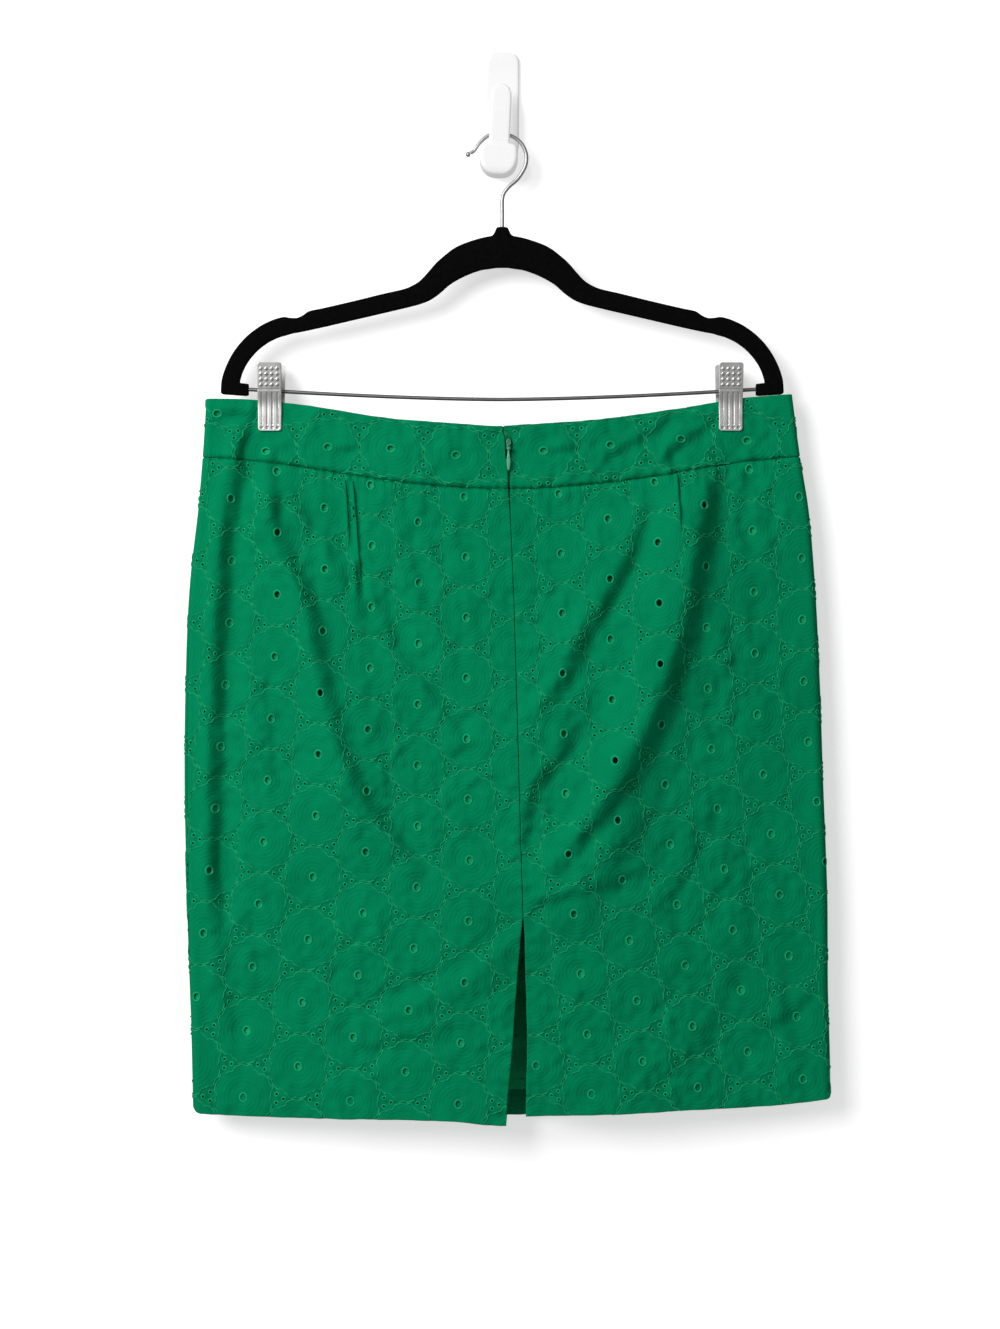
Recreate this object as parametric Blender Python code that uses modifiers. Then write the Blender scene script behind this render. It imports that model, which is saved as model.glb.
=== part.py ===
"""A pencil skirt of eyelet cotton on a clip hanger, which hangs on a wall hook.

The wall is the plane y = 0 and the skirt's back, with its zip and slit, faces -Y. The origin is on the back
face of the wall hook's plate. The skirt is a flattened tube: its outer face is worked out by cloth_points()
from the outline table, and every layer is a sheet of that face, moved in by the layers that lie over it.
"""

import math

import bmesh
import bpy
import numpy as np
from mathutils import Matrix, Vector

MM = 0.001
TOUCHING = 0.3 * MM  # gap between pieces that touch

# the tube of cloth
LACE = 1.0 * MM  # wall of the eyelet cotton
LINER = 1.0 * MM  # wall of the lining and of the inner waistband
LAYER_GAP_TOP = 0.5 * MM  # between the eyelet cotton and what lies under it, in the waistband
LAYER_GAP_BODY = 1.0 * MM  # and below it
LAYER_GAP_ZIP = 1.6 * MM  # and at the zip, whose tapes lie in it
SEAM = 0.3 * MM  # pieces are this far apart at a seam
LINING_SHORTER = 20.0 * MM  # the lining ends above the hem
LINING_BACK_FROM_SLIT = 2.0 * MM
BODY_STARTS = -330.0 * MM  # height under which the body's layer gap is reached
BAND_ENDS = -290.0 * MM
FULLNESS_ROUND = 2.5  # how square the bulge of the back and front is
PINCH_SQUARE = 24  # how close to the side folds the clips' pinch reaches


def table(columns, rows):
    """A table of sizes in mm as named columns in metres."""
    values = MM * np.array(rows, dtype=float)
    return {name: values[:, number] for number, name in enumerate(columns)}


# silhouette, round side folds, how far back and front stand off the middle plane, that plane, and how far
# the side seams are turned towards the viewer's right
OUTLINE = table(
    ("height", "left", "right", "fold_radius", "back", "front", "middle", "seam_turn"),
    [
        (-826, -245.5, 262.3, 6.5, 21.0, 14.0, -24.0, 0.0),
        (-772, -246.6, 261.7, 6.5, 21.0, 14.0, -24.0, 0.0),
        (-715, -248.4, 260.0, 6.5, 20.5, 13.5, -23.5, 1.5),
        (-645, -250.6, 259.6, 6.5, 20.0, 13.5, -23.0, 4.0),
        (-549, -252.6, 256.2, 6.5, 18.5, 13.0, -22.5, 5.5),
        (-470, -251.8, 253.6, 6.5, 17.0, 12.5, -22.0, 5.0),
        (-390, -248.2, 249.6, 6.0, 14.0, 11.0, -21.5, 2.5),
        (-330, -241.8, 244.4, 5.5, 10.5, 9.0, -21.0, 0.5),
        (-292, -238.6, 238.4, 5.0, 8.5, 7.5, -20.5, 0.0),
        (-240, -235.3, 231.6, 4.8, 7.5, 7.0, -20.5, 0.0),
    ],
)
# lines across the skirt: how high each lies along the width
TOP_BACK = table(
    ("x", "height"),
    [
        (-235, -245.6),
        (-208, -245.8),
        (-160, -250.3),
        (-97, -260.3),
        (-33, -265.8),
        (-1, -267.6),
        (15, -266.6),
        (78, -262.2),
        (142, -253.2),
        (194, -244.8),
        (231, -242.0),
    ],
)
TOP_FRONT = table(
    ("x", "height"),
    [(-235, -245.6), (-190, -248.5), (-97, -262.8), (0, -270.0), (97, -262.4), (190, -247.6), (231, -242.0)],
)
WAIST_SEAM = table(
    ("x", "height"),
    [
        (-238, -292.4),
        (-199, -294.8),
        (-138, -303.6),
        (-81, -312.3),
        (6, -317.9),
        (78, -313.4),
        (140, -304.9),
        (175, -298.3),
        (238, -291.6),
    ],
)
HEM_BACK_LEFT = table(
    ("x", "height"),
    [(-245, -813.4), (-191, -816.0), (-64, -817.6), (-33, -818.5), (-14, -820.8), (4, -821.6)],
)
HEM_BACK_RIGHT = table(
    ("x", "height"), [(18, -814.0), (78, -813.3), (141, -810.4), (220, -807.0), (262, -802.2)]
)
HEM_FRONT = table(
    ("x", "height"),
    [(-245, -813.4), (-120, -817.0), (0, -818.0), (110, -812.6), (190, -808.0), (262, -802.2)],
)
# edges of the two back halves: an eye round the zip's slider, a closed seam, and the slit over the hem
BACK_OPENING = table(
    ("height", "left", "right"),
    [
        (-826.0, 3.6, 18.9),
        (-799.0, 4.9, 19.2),
        (-760.0, 8.6, 20.4),
        (-712.0, 12.0, 19.2),
        (-692.0, 13.6, 18.6),
        (-672.0, 15.3, 18.3),
        (-657.0, 16.9, 17.2),
        (-517.0, 12.9, 13.2),
        (-400.0, 9.6, 9.9),
        (-344.0, 7.2, 7.5),
        (-318.0, 5.4, 6.6),
        (-303.0, 4.9, 7.2),
        (-290.0, 3.2, 8.3),
        (-277.0, 2.6, 8.4),
        (-272.5, 1.3, 3.4),
        (-266.0, 0.3, 0.8),
    ],
)
# soft folds that stand out from the cloth, hanging from the clips
FOLD_COLUMNS = ("top_x", "top", "low_x", "low", "bow", "rise", "reach")
BACK_FOLDS = table(
    FOLD_COLUMNS,
    [
        (-192, -306, -112, -590, 4, 5.5, 24),
        (152, -303, 60, -640, 12, 7.0, 26),
        (90, -330, 14, -560, 4, 3.5, 22),
    ],
)
FRONT_FOLDS = table(
    FOLD_COLUMNS,
    [(-165, -300, -70, -590, -6, 5.0, 26), (160, -300, 90, -640, 5, 5.5, 26)],
)
FOLD_FADE = 45.0 * MM

# columns and rows of the sheets' grids, as shares of their width and height
BESIDE_CLIP_HALF = [0, 0.08, 0.15, 0.262]
BESIDE_CLIP_FRONT = [0, 0.04, 0.078, 0.132]
LACE_COLUMNS_HALF = np.array(BESIDE_CLIP_HALF + [0.34, 0.42, 0.5, 0.58, 0.66, 0.74, 0.82, 0.91, 1.0])
LACE_COLUMNS_LEFT = np.array(BESIDE_CLIP_FRONT + [0.19, 0.25, 0.32, 0.39, 0.46])
LACE_COLUMNS_FRONT = np.concatenate([LACE_COLUMNS_LEFT, 1 - LACE_COLUMNS_LEFT[::-1]])
LINER_COLUMNS_HALF = np.array(BESIDE_CLIP_HALF + [0.4, 0.6, 0.8, 1.0])
LINER_COLUMNS_LEFT = np.array(BESIDE_CLIP_FRONT + [0.25, 0.42])
LINER_COLUMNS_FRONT = np.concatenate([LINER_COLUMNS_LEFT, 1 - LINER_COLUMNS_LEFT[::-1]])
BAND_ROWS = np.array([0.0, 0.12, 0.19, 0.45, 0.72, 1.0])
BAND_ROWS_FRONT = np.array([0.0, 0.5, 1.0])
LACE_ROWS = np.array([0, 0.05, 0.11, 0.18, 0.26, 0.34, 0.42, 0.5, 0.58, 0.676, 0.77, 0.88, 1.0])
LINER_ROWS = np.array([0, 0.08, 0.2, 0.36, 0.52, 0.69, 0.82, 1.0])
SIDE_FOLD_SHARES = np.array([0.0, 0.08, 0.38, 0.69])  # steps round a side fold, from its seam

# eyelets: where the columns of large eyelets lie on the back, by height, and the rows' rise to the sides
EYELET_RADIUS = 2.5 * MM
EYELET_SIDES = 5
EYELET_MARGIN = 2.2 * MM  # cloth left between an eyelet and an edge
# the cloth's lattice of large eyelets, as it hangs: first is the uppermost row beside the middle column, the
# columns lie at origin + number * pitch, and each row rises to the sides
LATTICE = ("height", "origin", "pitch", "rise")
LATTICE_LEFT = {
    "first": -325.6 * MM,
    "period": 47.9 * MM,
    **table(
        LATTICE,
        [
            (-826, 8.0, 42.8, 2.0),
            (-746, 11.0, 42.6, 11.0),
            (-656, 16.2, 41.9, 16.0),
            (-509, 11.4, 38.9, 19.5),
            (-351, 8.3, 37.1, 24.5),
            (-290, 6.0, 37.0, 26.0),
        ],
    ),
}
LATTICE_RIGHT = {
    "first": -323.0 * MM,
    "period": 47.45 * MM,
    **table(
        LATTICE,
        [
            (-826, 31.0, 42.4, 11.0),
            (-746, 25.3, 42.1, 15.0),
            (-610, 12.2, 40.9, 18.0),
            (-509, 10.7, 38.7, 18.0),
            (-351, 8.3, 38.3, 23.0),
            (-290, 6.0, 38.2, 26.0),
        ],
    ),
}
LATTICE_FRONT = {
    "first": -324.5 * MM,
    "period": 47.7 * MM,
    **table(LATTICE, [(-826, 5.0, 42.5, 6.0), (-600, 3.0, 41.0, 16.0), (-290, 2.0, 37.5, 25.0)]),
}
EYELET_ROWS = 12
ROW_RISE_WAVE = 13.0  # columns in one wave of the rows' rise
BACK_EYELET_COLUMNS = range(-6, 7)
FRONT_EYELET_COLUMNS = range(-5, 6)
# the waistband is cut across the cloth, so its large eyelets run along it
BAND_EYELETS_BACK = table(
    ("x", "over_seam"),
    [
        (-226.2, 35.5),
        (-187.5, 8.6),
        (-137.9, 19.3),
        (-87.8, 26.0),
        (-35.9, 25.6),
        (33.6, 29.6),
        (86.7, 29.6),
        (142.8, 26.4),
        (195.8, 16.7),
    ],
)
BAND_EYELETS_FRONT = table(
    ("x", "over_seam"),
    [(-204, 12), (-153, 20), (-102, 26), (-51, 28), (0, 28), (51, 28), (102, 26), (153, 20), (204, 12)],
)

# zip at the middle of the back
ZIP_TAPE_WIDTH = 10.0 * MM
ZIP_TAPE = 1.0 * MM
ZIP_LOW = -470.0 * MM
ZIP_TOP = -274.0 * MM
ZIP_ROWS = np.array([0.0, 0.015, 0.082, 0.148, 0.224, 0.36, 0.64, 1.0])
SLIDER_X = 5.6 * MM
SLIDER_TOP = -277.6 * MM
SLIDER_LOW = -287.2 * MM
SLIDER_FRONT = -30.3 * MM
SLIDER_WIDTH = 4.4 * MM
SLIDER_BASE_WIDTH = 6.4 * MM
SLIDER_BASE_FRONT = -26.0 * MM
SLIDER_BACK = -24.2 * MM
PIN_RADIUS = 0.5 * MM
PIN_Y = -31.8 * MM
PIN_Z = -285.9 * MM
CHEEK = 0.7 * MM
CHEEK_HEIGHT = 2.2 * MM
PULL_EYE_INNER = 0.8 * MM
PULL_EYE_OUTER = 1.3 * MM
PULL_EYE_WIDTH = 2.2 * MM
PULL_THICK = 0.9 * MM
PULL_OUTLINE = table(("down", "half_width"), [(0.9, 0.55), (3.2, 0.7), (8.5, 1.6), (13.0, 1.45), (17.6, 0.5)])

# clip hanger
HANG_Y = -20.5 * MM  # the plane in which the hanger and its bar hang
HANGER_THICK = 5.5 * MM
HANGER_EDGE = 1.1 * MM  # rounding of its edges
HANGER_CURVE_STEPS = 3
HANGER_MIDDLE = 0.6 * MM
# half of the hanger's outline, from the neck over the shoulder to the foot and back under the arm
HANGER_OUTLINE = [
    # x, z, handle
    (5.6, -108.7, "VECTOR"),
    (7.2, -112.0, "VECTOR"),
    (9.4, -116.2, "VECTOR"),
    (37.1, -132.4, "AUTO"),
    (61.4, -149.9, "AUTO"),
    (80.0, -158.6, "AUTO"),
    (154.3, -176.3, "VECTOR"),
    (165.4, -181.8, "AUTO"),
    (173.6, -179.8, "AUTO"),
    (192.7, -189.0, "AUTO"),
    (208.7, -202.2, "AUTO"),
    (219.6, -216.9, "AUTO"),
    (223.6, -229.7, "AUTO"),
    (224.4, -241.2, "VECTOR"),
    (202.0, -242.9, "VECTOR"),
    (202.0, -233.6, "VECTOR"),
    (209.0, -232.6, "VECTOR"),
    (203.4, -214.0, "AUTO"),
    (176.0, -195.4, "AUTO"),
    (61.4, -169.1, "AUTO"),
    (45.1, -157.9, "AUTO"),
    (29.1, -146.8, "AUTO"),
]
HANGER_UNDER_NECK = -141.2
WIRE_RADIUS = 1.5 * MM
SOCKET_RADIUS = WIRE_RADIUS + TOUCHING
SOCKET_DEPTH = 9.0 * MM
SOCKET_SIDES = 10
HOOK_WIRE = table(
    ("x", "z"),
    [
        (0.6, -117.0),
        (0.7, -100.0),
        (1.0, -84.5),
        (5.4, -77.0),
        (13.2, -69.6),
        (18.9, -60.0),
        (19.7, -50.5),
        (15.6, -41.6),
        (8.0, -36.0),
        (-1.4, -33.9),
        (-10.6, -35.8),
        (-17.4, -41.4),
        (-21.6, -47.4),
        (-24.6, -49.4),
    ],
)
HOOK_WIRE_STEPS = 2
HOOK_TIP_RADIUS = 2.0 * MM
BAR_LOW = -246.0 * MM  # middle of the trouser bar
BAR_RISE = 8.0 * MM
BAR_HALF = 201.0 * MM  # to the feet's inner faces, past which the bar runs level in its sockets
BAR_BOW = 1.6

# clips
CLIP_X = {"left": -184.5 * MM, "right": 182.5 * MM}
CLIP_WIDTH = 19.4 * MM
CLIP_LOW_WIDTH = 18.6 * MM
CLIP_PLATE = 1.2 * MM
CLIP_CORNER = 2.0 * MM
CLAMPED_HALF = 3.0 * MM  # half of the cloth's thickness where a clip holds it
CLIP_PROFILE = table(
    ("height", "out"),
    [(-271.1, 3.45), (-249.0, 3.45), (-239.5, 5.8), (-217.4, 9.4)],
)
BACK_JAW_SHIFT = 1.8 * MM  # the back jaw sits nearer to the hanger's middle
EAR = 0.9 * MM
EAR_RADIUS = 3.3 * MM
EAR_OFFSET = {"front": 8.5 * MM, "back": 7.1 * MM}
SPRING_HALF = 6.2 * MM
SPRING_RADIUS = 3.1 * MM
PINCH_REACH = 26.0 * MM
PINCH_FADE = 90.0 * MM
CLIP_LOW = -271.0 * MM

# wall hook
PLATE_DEPTH = 4.0 * MM
PLATE_TOP = 34.5 * MM
PLATE_LOW = -50.0 * MM
PLATE_TOP_HALF = 12.9 * MM
PLATE_LOW_HALF = 16.0 * MM
PLATE_CORNER = 6.0 * MM
TONGUE_HALF = 8.3 * MM
TONGUE_TOP = 5.0 * MM
TONGUE_BACK = HANG_Y - WIRE_RADIUS - TOUCHING
TONGUE_FRONT = TONGUE_BACK - 4.0 * MM
SADDLE_TOP = -36.4 * MM
SADDLE_MIDDLE = 0.0 * MM
SADDLE_HALF = 4.5 * MM
LIP_TOP = -42.2 * MM
LIP_LOW = -67.3 * MM
LIP_HALF = 15.4 * MM
LIP_CORNER = 9.0 * MM
HOOK_EDGE = 1.2 * MM
HOOK_TILT = math.radians(2.5)  # it was stuck on a little crooked

PARTS = "pencil_skirt_on_hanger"
CUTTERS = "cutters"
COLOURS = {
    # r, g, b, roughness, metallic
    "lace": (0.004, 0.235, 0.105, 0.85, 0.0),
    "liner": (0.004, 0.16, 0.075, 0.6, 0.0),
    "velvet": (0.008, 0.008, 0.009, 0.95, 0.0),
    "steel": (0.6, 0.6, 0.6, 0.25, 1.0),
    "plastic": (0.85, 0.85, 0.85, 0.25, 0.0),
    "zip_metal": (0.12, 0.42, 0.27, 0.35, 0.6),
}


# ---------------------------------------------------------------- helpers


def read(rows, key, column, at):
    """A column of a table read along its key column, on a smooth curve through the rows."""
    keys = rows[key]
    values = rows[column]
    slopes = np.gradient(values, keys)
    at = np.clip(at, keys[0], keys[-1])
    low = np.clip(np.searchsorted(keys, at) - 1, 0, len(keys) - 2)
    span = keys[low + 1] - keys[low]
    t = (at - keys[low]) / span
    start = (1 + 2 * t) * (1 - t) ** 2 * values[low] + t * (1 - t) ** 2 * span * slopes[low]
    stop = t * t * (3 - 2 * t) * values[low + 1] + t * t * (t - 1) * span * slopes[low + 1]
    return start + stop


def straight(rows, key, column, at):
    """A column of a table read along its key column, on straight lines between the rows."""
    return np.interp(at, rows[key], rows[column])


def smooth_step(low, high, value):
    """0 below low, 1 above high, and an S curve between them."""
    t = np.clip((value - low) / (high - low), 0, 1)
    return t * t * (3 - 2 * t)


def outline(column, height):
    return read(OUTLINE, "height", column, height)


def clear_scene():
    for old in list(bpy.data.objects):
        bpy.data.objects.remove(old, do_unlink=True)
    for name in (PARTS, CUTTERS):
        bpy.context.scene.collection.children.link(bpy.data.collections.new(name))


def material(name):
    made = bpy.data.materials.new(name)
    made.use_nodes = True
    shader = made.node_tree.nodes["Principled BSDF"]
    red, green, blue, rough, metal = COLOURS[name]
    shader.inputs["Base Color"].default_value = (red, green, blue, 1)
    shader.inputs["Roughness"].default_value = rough
    shader.inputs["Metallic"].default_value = metal
    made.diffuse_color = (red, green, blue, 1)
    return made


def add_part(name, data, look):
    part = bpy.data.objects.new(name, data)
    part.data.materials.append(material(look))
    bpy.data.collections[PARTS].objects.link(part)
    return part


def add_cutter(name, data):
    tool = bpy.data.objects.new(name, data)
    tool.hide_render = True
    tool.display_type = "WIRE"
    bpy.data.collections[CUTTERS].objects.link(tool)
    return tool


def combine(part, tool, operation):
    """Cut a tool's shape out of a part (DIFFERENCE) or join it on (UNION)."""
    step = part.modifiers.new(f"{operation.lower()}_{tool.name}", "BOOLEAN")
    step.operation = operation
    step.object = tool
    step.solver = "EXACT"


def mesh_from(shape, name):
    mesh = bpy.data.meshes.new(name)
    shape.to_mesh(mesh)
    shape.free()
    return mesh


def box_mesh(name, low, high):
    """A box between two corners."""
    low = Vector(low)
    high = Vector(high)
    shape = bmesh.new()
    size = high - low
    place = Matrix.Translation((low + high) / 2) @ Matrix.Diagonal((*size, 1))
    bmesh.ops.create_cube(shape, size=1, matrix=place)
    return mesh_from(shape, name)


def add_rod(shape, centre, axis, radius, length, sides):
    """A prism with many sides round an axis, added to a bmesh."""
    turn = Vector((0, 0, 1)).rotation_difference(Vector(axis)).to_matrix().to_4x4()
    bmesh.ops.create_cone(
        shape,
        cap_ends=True,
        segments=sides,
        radius1=radius,
        radius2=radius,
        depth=length,
        matrix=Matrix.Translation(centre) @ turn,
    )


def rod_mesh(name, centre, axis, radius, length, sides):
    shape = bmesh.new()
    add_rod(shape, centre, axis, radius, length, sides)
    return mesh_from(shape, name)


def wire(name, points, radius, look):
    """A round wire along points."""
    data = bpy.data.curves.new(name, "CURVE")
    data.dimensions = "3D"
    data.bevel_depth = radius
    data.bevel_resolution = 2
    data.use_fill_caps = True
    line = data.splines.new("POLY")
    line.points.add(len(points) - 1)
    for slot, point in zip(line.points, points, strict=True):
        slot.co = (*point, 1)
    return add_part(name, data, look)


# ---------------------------------------------------------------- the cloth's outer face


def fold_rise(x, height, folds):
    """How far the soft folds stand out at x: each is a rounded ridge whose line bows sideways."""
    total = np.zeros(np.broadcast(x, height).shape)
    for number in range(len(folds["top"])):
        one = {name: column[number] for name, column in folds.items()}
        share = (one["top"] - height) / (one["top"] - one["low"])
        inside = np.clip(share, 0, 1)
        line = one["top_x"] + (one["low_x"] - one["top_x"]) * inside
        line = line + 4 * one["bow"] * inside * (1 - inside)
        ends = smooth_step(one["low"] - FOLD_FADE, one["low"] + FOLD_FADE, height)
        ends = ends * smooth_step(one["top"] + FOLD_FADE / 2, one["top"] - FOLD_FADE, height)
        total = total + one["rise"] * ends * np.exp(-(((x - line) / one["reach"]) ** 2))
    return total


def cloth_points(across, height, side, folded):
    """Points on the cloth's outer face, side -1 being the back and +1 the front.

    across is measured over the cloth from the middle. Up to the side fold the face stands off the middle
    plane by fold_radius + (depth - fold_radius) * (1 - |v| ** 2.5) ** 2, where v is the share of the
    way, less what the clips press in. Round the side fold it is an arc that goes on to the other side.
    """
    left = outline("left", height)
    right = outline("right", height)
    radius = outline("fold_radius", height)
    depth = outline("back" if side < 0 else "front", height)
    flat = (right - left) / 2 - radius
    share = np.clip(across / flat, -1, 1)
    x = (left + right) / 2 + share * flat
    stand_off = radius + (depth - radius) * (1 - np.abs(share) ** FULLNESS_ROUND) ** 2
    pressed = smooth_step(CLIP_LOW - PINCH_FADE, CLIP_LOW, height) * (1 - np.abs(share) ** PINCH_SQUARE)
    for clip in CLIP_X.values():
        near = 1 / (1 + ((x - clip) / PINCH_REACH) ** 4)
        stand_off = stand_off - (stand_off - CLAMPED_HALF) * near * pressed
    if folded:
        rise = fold_rise(x, height, BACK_FOLDS if side < 0 else FRONT_FOLDS)
        stand_off = stand_off + rise * (1 - np.abs(share) ** PINCH_SQUARE)
    turn = np.clip((np.abs(across) - flat) / radius, 0, math.pi)
    x = x + np.sign(across) * radius * np.sin(turn)
    stand_off = np.where(turn > 0, radius * np.cos(turn), stand_off)
    y = outline("middle", height) + side * stand_off
    return np.stack(np.broadcast_arrays(x, y, height), axis=-1)


def outward(across, height, side, folded):
    """Unit normals of the cloth's outer face, from small steps along and down it."""
    step = 0.2 * MM

    def place(along, up):
        return cloth_points(across + along, height + up, side, folded)

    normal = -side * np.cross(place(step, 0) - place(-step, 0), place(0, step) - place(0, -step))
    return normal / np.linalg.norm(normal, axis=-1, keepdims=True)


def seam_edge(end, side, height):
    """Across position of the side seam at the left (-1) or right (+1) end of the back or front."""
    flat = (outline("right", height) - outline("left", height)) / 2 - outline("fold_radius", height)
    quarter = outline("fold_radius", height) * math.pi / 2
    turned = -side * outline("seam_turn", height)
    return end * (flat + quarter - SEAM / 2) + turned


def opening_edge(end, clearance):
    """The across position of one back half's edge at the middle, moved away from the opening."""

    def edge(height):
        middle = (outline("left", height) + outline("right", height)) / 2
        column = "left" if end < 0 else "right"
        return straight(BACK_OPENING, "height", column, height) + end * clearance - middle

    return edge


def mirrored(shares):
    return 1 - shares[::-1]


class Sheet:
    """A grid of places on the cloth's outer face, between a top and a bottom line and two edges."""

    def __init__(self, side, top, bottom, shares, rows, left=None, right=None):
        self.side = side
        self.left = left or (lambda height: seam_edge(-1, side, height))
        self.right = right or (lambda height: seam_edge(1, side, height))
        steps = SIDE_FOLD_SHARES
        fold_left = steps if left is None else steps[:0]
        fold_right = 1 - steps[::-1] if right is None else steps[:0]
        self.zone = np.concatenate([0 * fold_left - 1, 0 * shares, 0 * fold_right + 1])
        self.share = np.concatenate([fold_left, shares, fold_right])
        self.has_left_fold = left is None
        self.has_right_fold = right is None
        high = self.line_heights(top, np.mean(top["height"])) - SEAM / 2
        low = self.line_heights(bottom, np.mean(bottom["height"])) + SEAM / 2
        self.height = high + (low - high) * rows[:, None]
        self.across = self.across_at(self.height)

    def across_at(self, height):
        flat = (outline("right", height) - outline("left", height)) / 2 - outline("fold_radius", height)
        left = self.left(height)
        right = self.right(height)
        start = -flat if self.has_left_fold else left
        stop = flat if self.has_right_fold else right
        over_left = left + (-flat - left) * self.share
        over_right = flat + (right - flat) * self.share
        between = start + (stop - start) * self.share
        return np.where(self.zone < 0, over_left, np.where(self.zone > 0, over_right, between))

    def line_heights(self, line, nominal):
        """Heights of a line across the skirt, where the columns meet it."""
        height = np.full(self.share.shape, nominal)
        x = cloth_points(self.across_at(height), height, self.side, False)[..., 0]
        height = read(line, "x", "height", x)
        x = cloth_points(self.across_at(height), height, self.side, False)[..., 0]
        return read(line, "x", "height", x)


def layer_gap(x, height):
    """Room between the eyelet cotton and what lies under it: close at the waist, more at the zip."""
    body = smooth_step(BAND_ENDS, BODY_STARTS, height)
    gap = LAYER_GAP_TOP + (LAYER_GAP_BODY - LAYER_GAP_TOP) * body
    beside = np.abs(x - straight(BACK_OPENING, "height", "left", height))
    near_zip = 1 - smooth_step(ZIP_TAPE_WIDTH + 4 * MM, ZIP_TAPE_WIDTH + 30 * MM, beside)
    return gap + (LAYER_GAP_ZIP - gap) * near_zip


def add_sheet(name, sheet, look, wall, under=None, folded=False):
    """A sheet as a wall: its grid is the outer face, and Solidify adds the wall inwards.

    under(x, height) is how deep the sheet lies under the cloth's outer face.
    """
    points = cloth_points(sheet.across, sheet.height, sheet.side, folded)
    if under is not None:
        depth = under(points[..., 0], sheet.height)
        points = points - depth[..., None] * outward(sheet.across, sheet.height, sheet.side, folded)
    rows, columns = sheet.across.shape
    number = np.arange(rows * columns).reshape(rows, columns)
    corners = [number[:-1, :-1], number[1:, :-1], number[1:, 1:], number[:-1, 1:]]
    faces = np.stack(corners, axis=-1).reshape(-1, 4)
    if sheet.side > 0:
        faces = faces[:, ::-1]
    mesh = bpy.data.meshes.new(name)
    mesh.from_pydata(points.reshape(-1, 3).tolist(), [], faces.tolist())
    part = add_part(name, mesh, look)
    thicken = part.modifiers.new("wall", "SOLIDIFY")
    thicken.thickness = wall
    thicken.offset = -1
    thicken.use_even_offset = True
    return part


# ---------------------------------------------------------------- eyelets


def eyelet_places(columns, lattice):
    """Places (x, height) of the large eyelets: the even columns lie half a period lower than the odd ones."""
    places = []
    for column in columns:
        for row in range(-1, EYELET_ROWS):
            height = lattice["first"] - lattice["period"] * (row + 0.5 * (column % 2 == 0))
            rise = straight(lattice, "height", "rise", height)
            height = height + rise * math.sin(math.pi * column / ROW_RISE_WAVE) ** 2
            origin = read(lattice, "height", "origin", height)
            pitch = read(lattice, "height", "pitch", height)
            places.append((origin + column * pitch, height))
    return places


def inside(sheet, x, height):
    """Whether an eyelet at (x, height) lies whole on the flat of a sheet."""
    room = EYELET_RADIUS + EYELET_MARGIN
    middle = (outline("left", height) + outline("right", height)) / 2
    across = x - middle
    flat = (outline("right", height) - outline("left", height)) / 2 - outline("fold_radius", height)
    low = max(float(sheet.left(height)), -flat) + room
    high = min(float(sheet.right(height)), flat) - room
    if not low < across < high:
        return False
    line = cloth_points(sheet.across, sheet.height, sheet.side, False)[..., 0]
    top = np.interp(x, line[0], sheet.height[0])
    bottom = np.interp(x, line[-1], sheet.height[-1])
    return bottom + room < height < top - room


def cut_eyelets(part, sheet, places):
    """Cut the eyelets that lie whole on a sheet through its wall."""
    shape = bmesh.new()
    count = 0
    for x, height in places:
        if not inside(sheet, x, height):
            continue
        middle = (outline("left", height) + outline("right", height)) / 2
        across = np.array(x - middle)
        level = np.array(height)
        point = Vector(cloth_points(across, level, sheet.side, True))
        normal = Vector(outward(across, level, sheet.side, True))
        add_rod(shape, point, normal, EYELET_RADIUS, 8 * LACE, EYELET_SIDES)
        count += 1
    combine(part, add_cutter(f"{part.name}_eyelets", mesh_from(shape, "eyelets")), "DIFFERENCE")
    return count


def band_places(rows):
    heights = read(WAIST_SEAM, "x", "height", rows["x"]) + rows["over_seam"]
    return list(zip(rows["x"], heights, strict=True))


# ---------------------------------------------------------------- the skirt


def lining_line(line):
    """The lining's lower line, over a hem."""
    return {"x": line["x"], "height": line["height"] + LINING_SHORTER}


def under_lace(x, height):
    return LACE + layer_gap(x, height)


def just_under_lace(x, height):
    return np.full(np.shape(x), LACE + TOUCHING)


def make_shell():
    """The front and the two back halves, of eyelet cotton."""
    half = mirrored(LACE_COLUMNS_HALF)
    left = Sheet(-1, WAIST_SEAM, HEM_BACK_LEFT, LACE_COLUMNS_HALF, LACE_ROWS, right=opening_edge(-1, 0))
    right = Sheet(-1, WAIST_SEAM, HEM_BACK_RIGHT, half, LACE_ROWS, left=opening_edge(1, 0))
    front = Sheet(1, WAIST_SEAM, HEM_FRONT, LACE_COLUMNS_FRONT, LACE_ROWS)
    on_left = eyelet_places(BACK_EYELET_COLUMNS, LATTICE_LEFT)
    on_right = eyelet_places(BACK_EYELET_COLUMNS, LATTICE_RIGHT)
    on_front = eyelet_places(FRONT_EYELET_COLUMNS, LATTICE_FRONT)
    for name, sheet, places in (
        ("back_panel_left", left, on_left),
        ("back_panel_right", right, on_right),
        ("front_panel", front, on_front),
    ):
        cut_eyelets(add_sheet(name, sheet, "lace", LACE, folded=True), sheet, places)


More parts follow.
